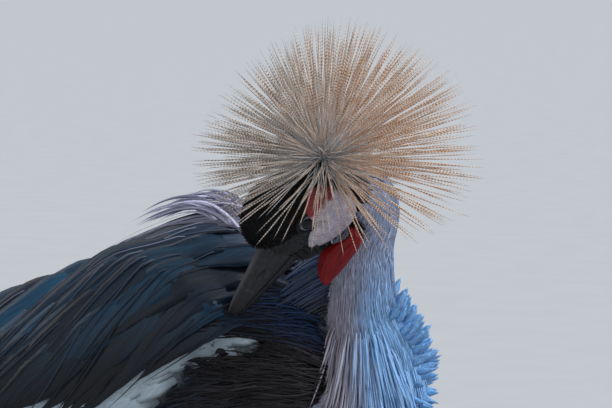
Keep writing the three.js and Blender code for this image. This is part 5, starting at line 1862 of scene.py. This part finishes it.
def lids(label, centre, out):
    """Both lids in one rolled ring of dark skin, the upper one lower over the eye, pointed at the corners."""
    around, section = 96, 12
    a = np.linspace(0, 2 * np.pi, around, endpoint=False)
    wide = 5.9 + 0.9 * np.abs(np.cos(a)) ** 6
    high = np.where(np.sin(a) > 0, 4.4, 4.8)
    rim_x, rim_z = wide * np.cos(a), high * np.sin(a)
    up_axis = unit(np.array((0, 0, 1)) - out * out[2])
    fore_axis = np.cross(up_axis, out)
    level = np.sqrt(np.clip((EYE_RADIUS + 0.25) ** 2 - rim_x**2 - rim_z**2, 0.6, None))
    rim = centre + rim_x[:, None] * fore_axis + rim_z[:, None] * up_axis + level[:, None] * out
    away = unit(rim_x[:, None] * fore_axis + rim_z[:, None] * up_axis)
    b = np.linspace(0, 2 * np.pi, section, endpoint=False)
    thick = 0.75 + 0.35 * (np.sin(a) > 0) + 0.12 * np.sin(a * 17)
    ring = rim[:, None] + thick[:, None, None] * (
        (1.5 + 1.5 * np.cos(b))[None, :, None] * away[:, None] * 0.9 + np.sin(b)[None, :, None] * out * 1.15
        - (1.2 * (1 + np.cos(b)))[None, :, None] * out * 0.35
    )
    points = ring.reshape(-1, 3)
    k, j = np.meshgrid(np.arange(around), np.arange(section), indexing="ij")
    p00, p01 = k * section + j, k * section + (j + 1) % section
    p10, p11 = ((k + 1) % around) * section + j, ((k + 1) % around) * section + (j + 1) % section
    halves = ((p00, p10, p11), (p00, p11, p01))
    faces = np.vstack([np.stack(half, -1).reshape(-1, 3) for half in halves])
    made = mesh_object(f"lids_{label}", place(from_head(points)), outward(points, faces), lid_material)
    finish_piece(made, "velvet_feathers")


def lid_finish():
    made = Finish("lid_skin", 0.5, Specular_IOR_Level=0.2)
    grain = made.noise(made.place(), 1700.0, 4.0, 0.65)
    made.colour(made.blend(made.ramp(grain, 0.35, 0.7), linear(9, 9, 10), linear(26, 25, 27)))
    made.bump(grain, 0.25 * MM)
    return made.material


def bill():
    """Both halves of the bill, hollowed where they meet; the upper has a side groove and sunk nostrils."""
    steps, around = 90, 44
    x = np.linspace(BILL_BASE, BILL_TIP, steps)[:, None]
    for upper, label in ((True, "upper"), (False, "lower")):
        a = np.linspace(0, np.pi, around)[None]
        shut = MOUTH_GAP / 2 if upper else -MOUTH_GAP / 2
        edge = bill_gape(x) + shut
        crest = bill_ridge(x) if upper else bill_keel(x)
        wide = bill_width(x)
        power = 0.85 if upper else 0.8
        y = wide * np.sign(np.cos(a)) * np.abs(np.cos(a)) ** 1.05
        z = edge + (crest - edge) * np.sin(a) ** power
        if upper:
            side_on = np.abs(np.cos(a))
            nostril = np.exp(-(((x - 52.5) / 4.6) ** 2) - (((z - 0.6) / 1.35) ** 2))
            nostril = nostril * smooth(side_on, 0.3, 0.6)
            groove = np.exp(-(((z - (edge + 0.62 * (crest - edge))) / 1.3) ** 2))
            groove = groove * smooth(x, 70, 40) * smooth(side_on, 0.2, 0.5)
            y = y * (1 - 0.42 * nostril - 0.08 * groove)
        floor_y = np.linspace(-1, 1, 16)[None, 1:-1] * wide
        floor_z = edge + (0.7 if upper else -0.7) * (1 - (floor_y / wide) ** 2)
        ring = np.concatenate([
            np.stack([x + 0 * a, y, z], -1), np.stack([x + 0 * floor_y, floor_y, floor_z], -1)
        ], 1)
        points, faces = loft(ring)
        points[-1, 0] += 0.9
        made = mesh_object(
            f"bill_{label}_horn", place(from_head(points)), outward(points, faces), horn_material,
        )
        u = np.concatenate([a[0] / np.pi, np.full(14, 0.02)])
        u = np.minimum(u, 1 - u) if upper else 0.3 * np.minimum(u, 1 - u)
        v = (x[:, 0] - BILL_BASE) / (BILL_TIP - BILL_BASE)
        grid = np.stack([np.tile(u, steps), np.repeat(v, len(u))], -1)
        set_uv(made.data, "grain", np.vstack([[(0.2, 0)], grid, [(0.4, 1)]]))
        finish_piece(made, "bill", f"bill_{label}")


def wattle():
    """The throat wattle: a loose petal of skin, creased lengthwise, its wide upper edge aslant."""
    levels = np.array(WATTLE_LEVELS, float)
    drop = np.linspace(levels[0, 0], levels[-1, 0], 70)
    aside, half, thick = (through(list(zip(levels[:, 0], levels[:, k])))(drop) for k in (1, 2, 3))
    around = 72
    a = np.radians(ring_angles(around))[None]
    fall = drop[:, None]
    crease = 0.12 * np.cos(3 * a) + 0.05 * np.cos(7 * a + 0.06 * fall) + 0.025 * np.cos(15 * a - 0.1 * fall)
    pucker = 0.03 * np.sin(fall * 0.55 + 2 * np.cos(a))
    size = 1 + crease + pucker
    down, wide = np.array((0, 0, -1.0)), np.array((0.938, -0.347, 0))
    flat = np.cross(down, wide)
    root = from_head(WATTLE_ROOT)
    line = root + drop[:, None] * down + aside[:, None] * wide
    ring = line[:, None] + (half[:, None] * np.cos(a))[..., None] * wide \
        + (thick[:, None] * size * np.sin(a))[..., None] * flat
    points, faces = loft(ring)
    made = mesh_object("wattle_skin", place(points), outward(points, faces), wattle_material)
    u = np.abs(ring_angles(around) - 180) / 180
    grid = np.stack([np.tile(u, len(drop)), np.repeat((drop - drop[0]) / 52, around)], -1)
    set_uv(made.data, "grain", np.vstack([[(0.5, 0)], grid, [(0.5, 1)]]))
    finish_piece(made, "wattle", "wattle")


def bristle_width(t):
    """Thickness along a bristle: fine at its root, full from a third of the way, and tapered to the tip."""
    return 0.3 + 0.7 * smooth(t, 0.0, 0.42) - 0.6 * smooth(t, 0.72, 1.0)


def crown(tree):
    """Hundreds of twisted bristles, spread from the hind head over a little more than half a globe, with
    short ones between them."""
    rng = np.random.default_rng(111)
    count = CROWN_LONG
    axis = unit(CROWN_AXIS)
    level = np.array((0.0, 1.0, 0.0))
    other = np.cross(axis, level)
    lowest = math.cos(math.radians(CROWN_SPREAD))
    rise = mix(0.985, lowest, (np.arange(count) + 0.5) / count)
    turn = np.arange(count) * math.pi * (3 - math.sqrt(5)) + rng.uniform(-0.4, 0.4, count)
    round_part = np.sqrt(1 - rise**2)
    way = rise[:, None] * axis + (round_part * np.cos(turn))[:, None] * level
    way = way + (round_part * np.sin(turn))[:, None] * other
    way = unit(way + rng.normal(0, 0.09, way.shape))
    over_face = smooth(np.abs(way[:, 1]), 0.3, 0.7) * smooth(way[:, 0], -0.35, 0.1)
    keep = rng.uniform(0, 1, count) > 0.62 * over_face
    way, rise, over_face = way[keep], rise[keep], over_face[keep]
    count = len(way)
    length = CROWN_REACH * (0.82 + 0.18 * rng.uniform(0, 1, count) ** 0.7)
    turned = way @ HEAD_AXES
    by_height = mix(1.0, 0.93, smooth(turned[:, 2], 0.2, 0.9))
    length *= by_height * mix(0.84, 1.02, smooth(turned[:, 0], -0.8, 0.5))
    length *= mix(1.0, 0.86, over_face)
    down = CROWN_SHORT
    extra = rng.integers(0, count, down)
    way = np.vstack([way, unit(way[extra] + rng.normal(0, 0.1, (down, 3)))])
    rise = np.concatenate([rise, rise[extra]])
    length = np.concatenate([length, rng.uniform(24, 58, down)])
    turned = way @ HEAD_AXES
    total = len(way)
    start = CROWN_ROOT + way * 2.0 + rng.uniform(-3.2, 3.2, way.shape)
    radius = np.where(np.arange(total) < count, rng.uniform(0.32, 0.48, total), rng.uniform(0.3, 0.4, total))
    size = np.stack([radius, radius, length], -1) * MM
    shape = small_shape("bristle", 10, 3, bristle_width, 32)
    golden = smooth(turned[:, 0] * 0.9 + rng.uniform(-0.3, 0.3, total), -0.4, 0.5)
    whole = np.concatenate([np.ones(count), np.zeros(down)])
    root = bake_root(np.degrees(np.arctan2(way[:, 1], way[:, 2])), (-180, 180), rise, (-0.3, 1))
    made = spread_shapes(
        "crown_bristles", tree, shape, crown_material, from_head(start), turned, size,
        rng.uniform(0, FULL_SPIN, total), root,
        {"golden": golden, "whole": whole, "length": length / CROWN_REACH},
    )
    bpy.data.objects.remove(shape)
    finish_piece(made, "crown_bristles", "crown")


# The legs


def leg(side, label):
    """Shank, heel joint, tarsus, foot and toes as one skin, ringed with plates in front."""
    def at(p):
        return np.array(p, float) + (0, side * STANCE, 0)

    thigh_end, hock, ankle = at(THIGH_END), at(HOCK), at(ANKLE)
    top = mix(thigh_end, hock, -0.12)
    line, _ = spline([top, thigh_end, mix(thigh_end, hock, 0.9), hock + (-1.5, 0, 0), mix(hock, ankle, 0.1),
                      mix(hock, ankle, 0.55), ankle + (0, 0, -4)])
    radius = through([
        (0, 7.4), (0.15, 6.4), (0.26, 6.6), (0.33, 9.0), (0.36, 9.6), (0.40, 8.2), (0.46, 5.9), (0.75, 5.0),
        (0.93, 5.8), (1, 7.0),
    ])
    steps, around = 230, 30
    share = np.linspace(0, 1, steps)
    centre = along_table(line, share)
    forward = unit(np.gradient(centre, axis=0))
    fore = unit(np.cross((0, 1, 0), forward))
    fore = np.where((fore[:, :1] < 0), -fore, fore)
    beside = np.cross(forward, fore)
    a = np.radians(ring_angles(around))
    plates = np.abs(np.sin(share * np.pi * 46))[:, None] ** 0.35
    front = smooth(np.cos(a), 0.1, 0.7)[None]
    bump = 0.34 * front * (plates - 0.6) * smooth(share, 0.04, 0.1)[:, None]
    size = radius(share)[:, None] * (1 + 0.06 * np.cos(a)[None] ** 2) + bump
    ring = centre[:, None] + size[..., None] * ring_ways(a, fore[:, None], beside[:, None])
    parts = [loft(ring)]
    for name, (turn, length, joints) in TOES.items():
        parts.append(toe(side, name, turn, length, joints))
    parts.append(ball_part(at((ANKLE[0], 0, 6.2)), (9, 8.5, 7.4)))
    made = melted(f"leg_{label}_skin", parts, LEG_VOXEL, LEG_ROUNDS)
    made.data.materials.append(leg_material)
    finish_piece(made, "leg_scales", f"shank_{label}", f"hock_{label}", f"tarsus_{label}", f"foot_{label}")
    for name in TOES:
        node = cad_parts[f"claw_{label}_{name}"]
        node.data.materials.clear()
        node.data.materials.append(claw_material)


def toe(side, name, turn, length, joints):
    """A toe along the floor, swollen at its joints, with plates across its top."""
    a = math.radians((turn + FOOT_OUT) * side)
    way = np.array((math.cos(a), math.sin(a), 0))
    beside = np.array((-way[1], way[0], 0))
    start = np.array((ANKLE[0], side * STANCE, 0.0))
    t = np.linspace(0, 1, 90)
    hind = name == "hind"
    height = TOE_RADIUS * (1 - 0.32 * t) - TOE_FLAT + (3 * (1 - t) if hind else 0)
    size = TOE_RADIUS * (1 - 0.32 * t) * (1 + 0.13 * np.cos(2 * np.pi * joints * t)) * (0.82 if hind else 1)
    b = np.radians(ring_angles(24))
    plates = 0.3 * (np.abs(np.sin(t * length / 3.4 * np.pi))[:, None] ** 0.4 - 0.6)
    plates = plates * smooth(np.sin(b), 0.2, 0.7)[None]
    reach = size[:, None] + plates
    centre = start + (length * t)[:, None] * way + height[:, None] * np.array((0, 0, 1))
    ring = centre[:, None] + reach[..., None] * ring_ways(b, beside, np.array((0, 0, 1)))
    return loft(ring)


# Camera, floor and light


def stage():
    aim = place(VIEW_AIM)
    turn, rise = math.radians(VIEW_TURN), math.radians(VIEW_RISE)
    back = Vector((math.sin(turn) * math.cos(rise), -math.cos(turn) * math.cos(rise), math.sin(rise)))
    data = bpy.data.cameras.new("camera")
    data.sensor_width = SENSOR
    data.lens = SENSOR * VIEW_DISTANCE / VIEW_WIDTH
    data.clip_end = 500
    camera = new_object("camera", data)
    camera.location = Vector(aim) + back * VIEW_DISTANCE * MM
    camera.rotation_euler = back.to_track_quat("Z", "Y").to_euler()
    bpy.context.scene.camera = camera
    bpy.context.scene.view_settings.view_transform = "Standard"

    corners = FLOOR_REACH * np.array([(-1, -1, 0), (1, -1, 0), (1, 1, 0), (-1, 1, 0)], float)
    floor = mesh_object("floor", corners, np.array([(0, 1, 2), (0, 2, 3)]))
    pale = Finish("floor_paint", 0.9)
    grain = pale.noise(pale.place(), 8.0, 3.0)
    pale.colour(pale.blend(pale.ramp(grain, 0.3, 0.7), (0.52, 0.525, 0.535), (0.54, 0.545, 0.555)))
    floor.data.materials.append(pale.material)

    right = Vector((math.cos(turn), math.sin(turn), 0))
    up = Vector((0, 0, 1))
    for name, way, energy, spread, colour in (
        ("key_light", right * 0.62 + up * 0.74 + back * 0.2, KEY_POWER, KEY_SPREAD, KEY_COLOUR),
        ("fill_light", right * -0.45 + up * 0.5 + back * 0.8, FILL_POWER, FILL_SPREAD, FILL_COLOUR),
    ):
        light = bpy.data.lights.new(name, "SUN")
        light.energy = energy
        light.angle = math.radians(spread)
        light.color = colour
        lamp = new_object(name, light)
        lamp.rotation_euler = way.to_track_quat("Z", "Y").to_euler()
    world = bpy.data.worlds.new("studio")
    world.use_nodes = True
    world.node_tree.nodes["Background"].inputs[0].default_value = SKY_COLOUR
    world.node_tree.nodes["Background"].inputs[1].default_value = SKY_POWER
    bpy.context.scene.world = world


# The bird, piece by piece

skin_material = skin_finish()
velvet_material = strand_finish("head_velvet", streak=0.3, roughness=0.85)
horn_material = horn_finish()
cheek_material = cheek_finish()
wattle_material = wattle_finish()
leg_material = leg_finish()
claw_material = claw_finish()
eye_material = eye_finish()
lid_material = lid_finish()
crown_material = crown_finish()

stage()
skin = build_skin()
tint_skin(skin)
skin.data.materials.append(skin_material)
finish_piece(skin, "slate_feathers")
contour_feathers()
scapulars()
for wing_side, wing_label in SIDES:
    wing(wing_side, wing_label)
    cheek(wing_side, wing_label)
    eye(wing_side, wing_label)
    leg(wing_side, wing_label)
tail()
neck_plumes()
ruff()
thigh_feathers()
shape_tree = spread_tree()
velvet(skin, shape_tree)
throat(skin)
bill()
wattle()
crown(shape_tree)
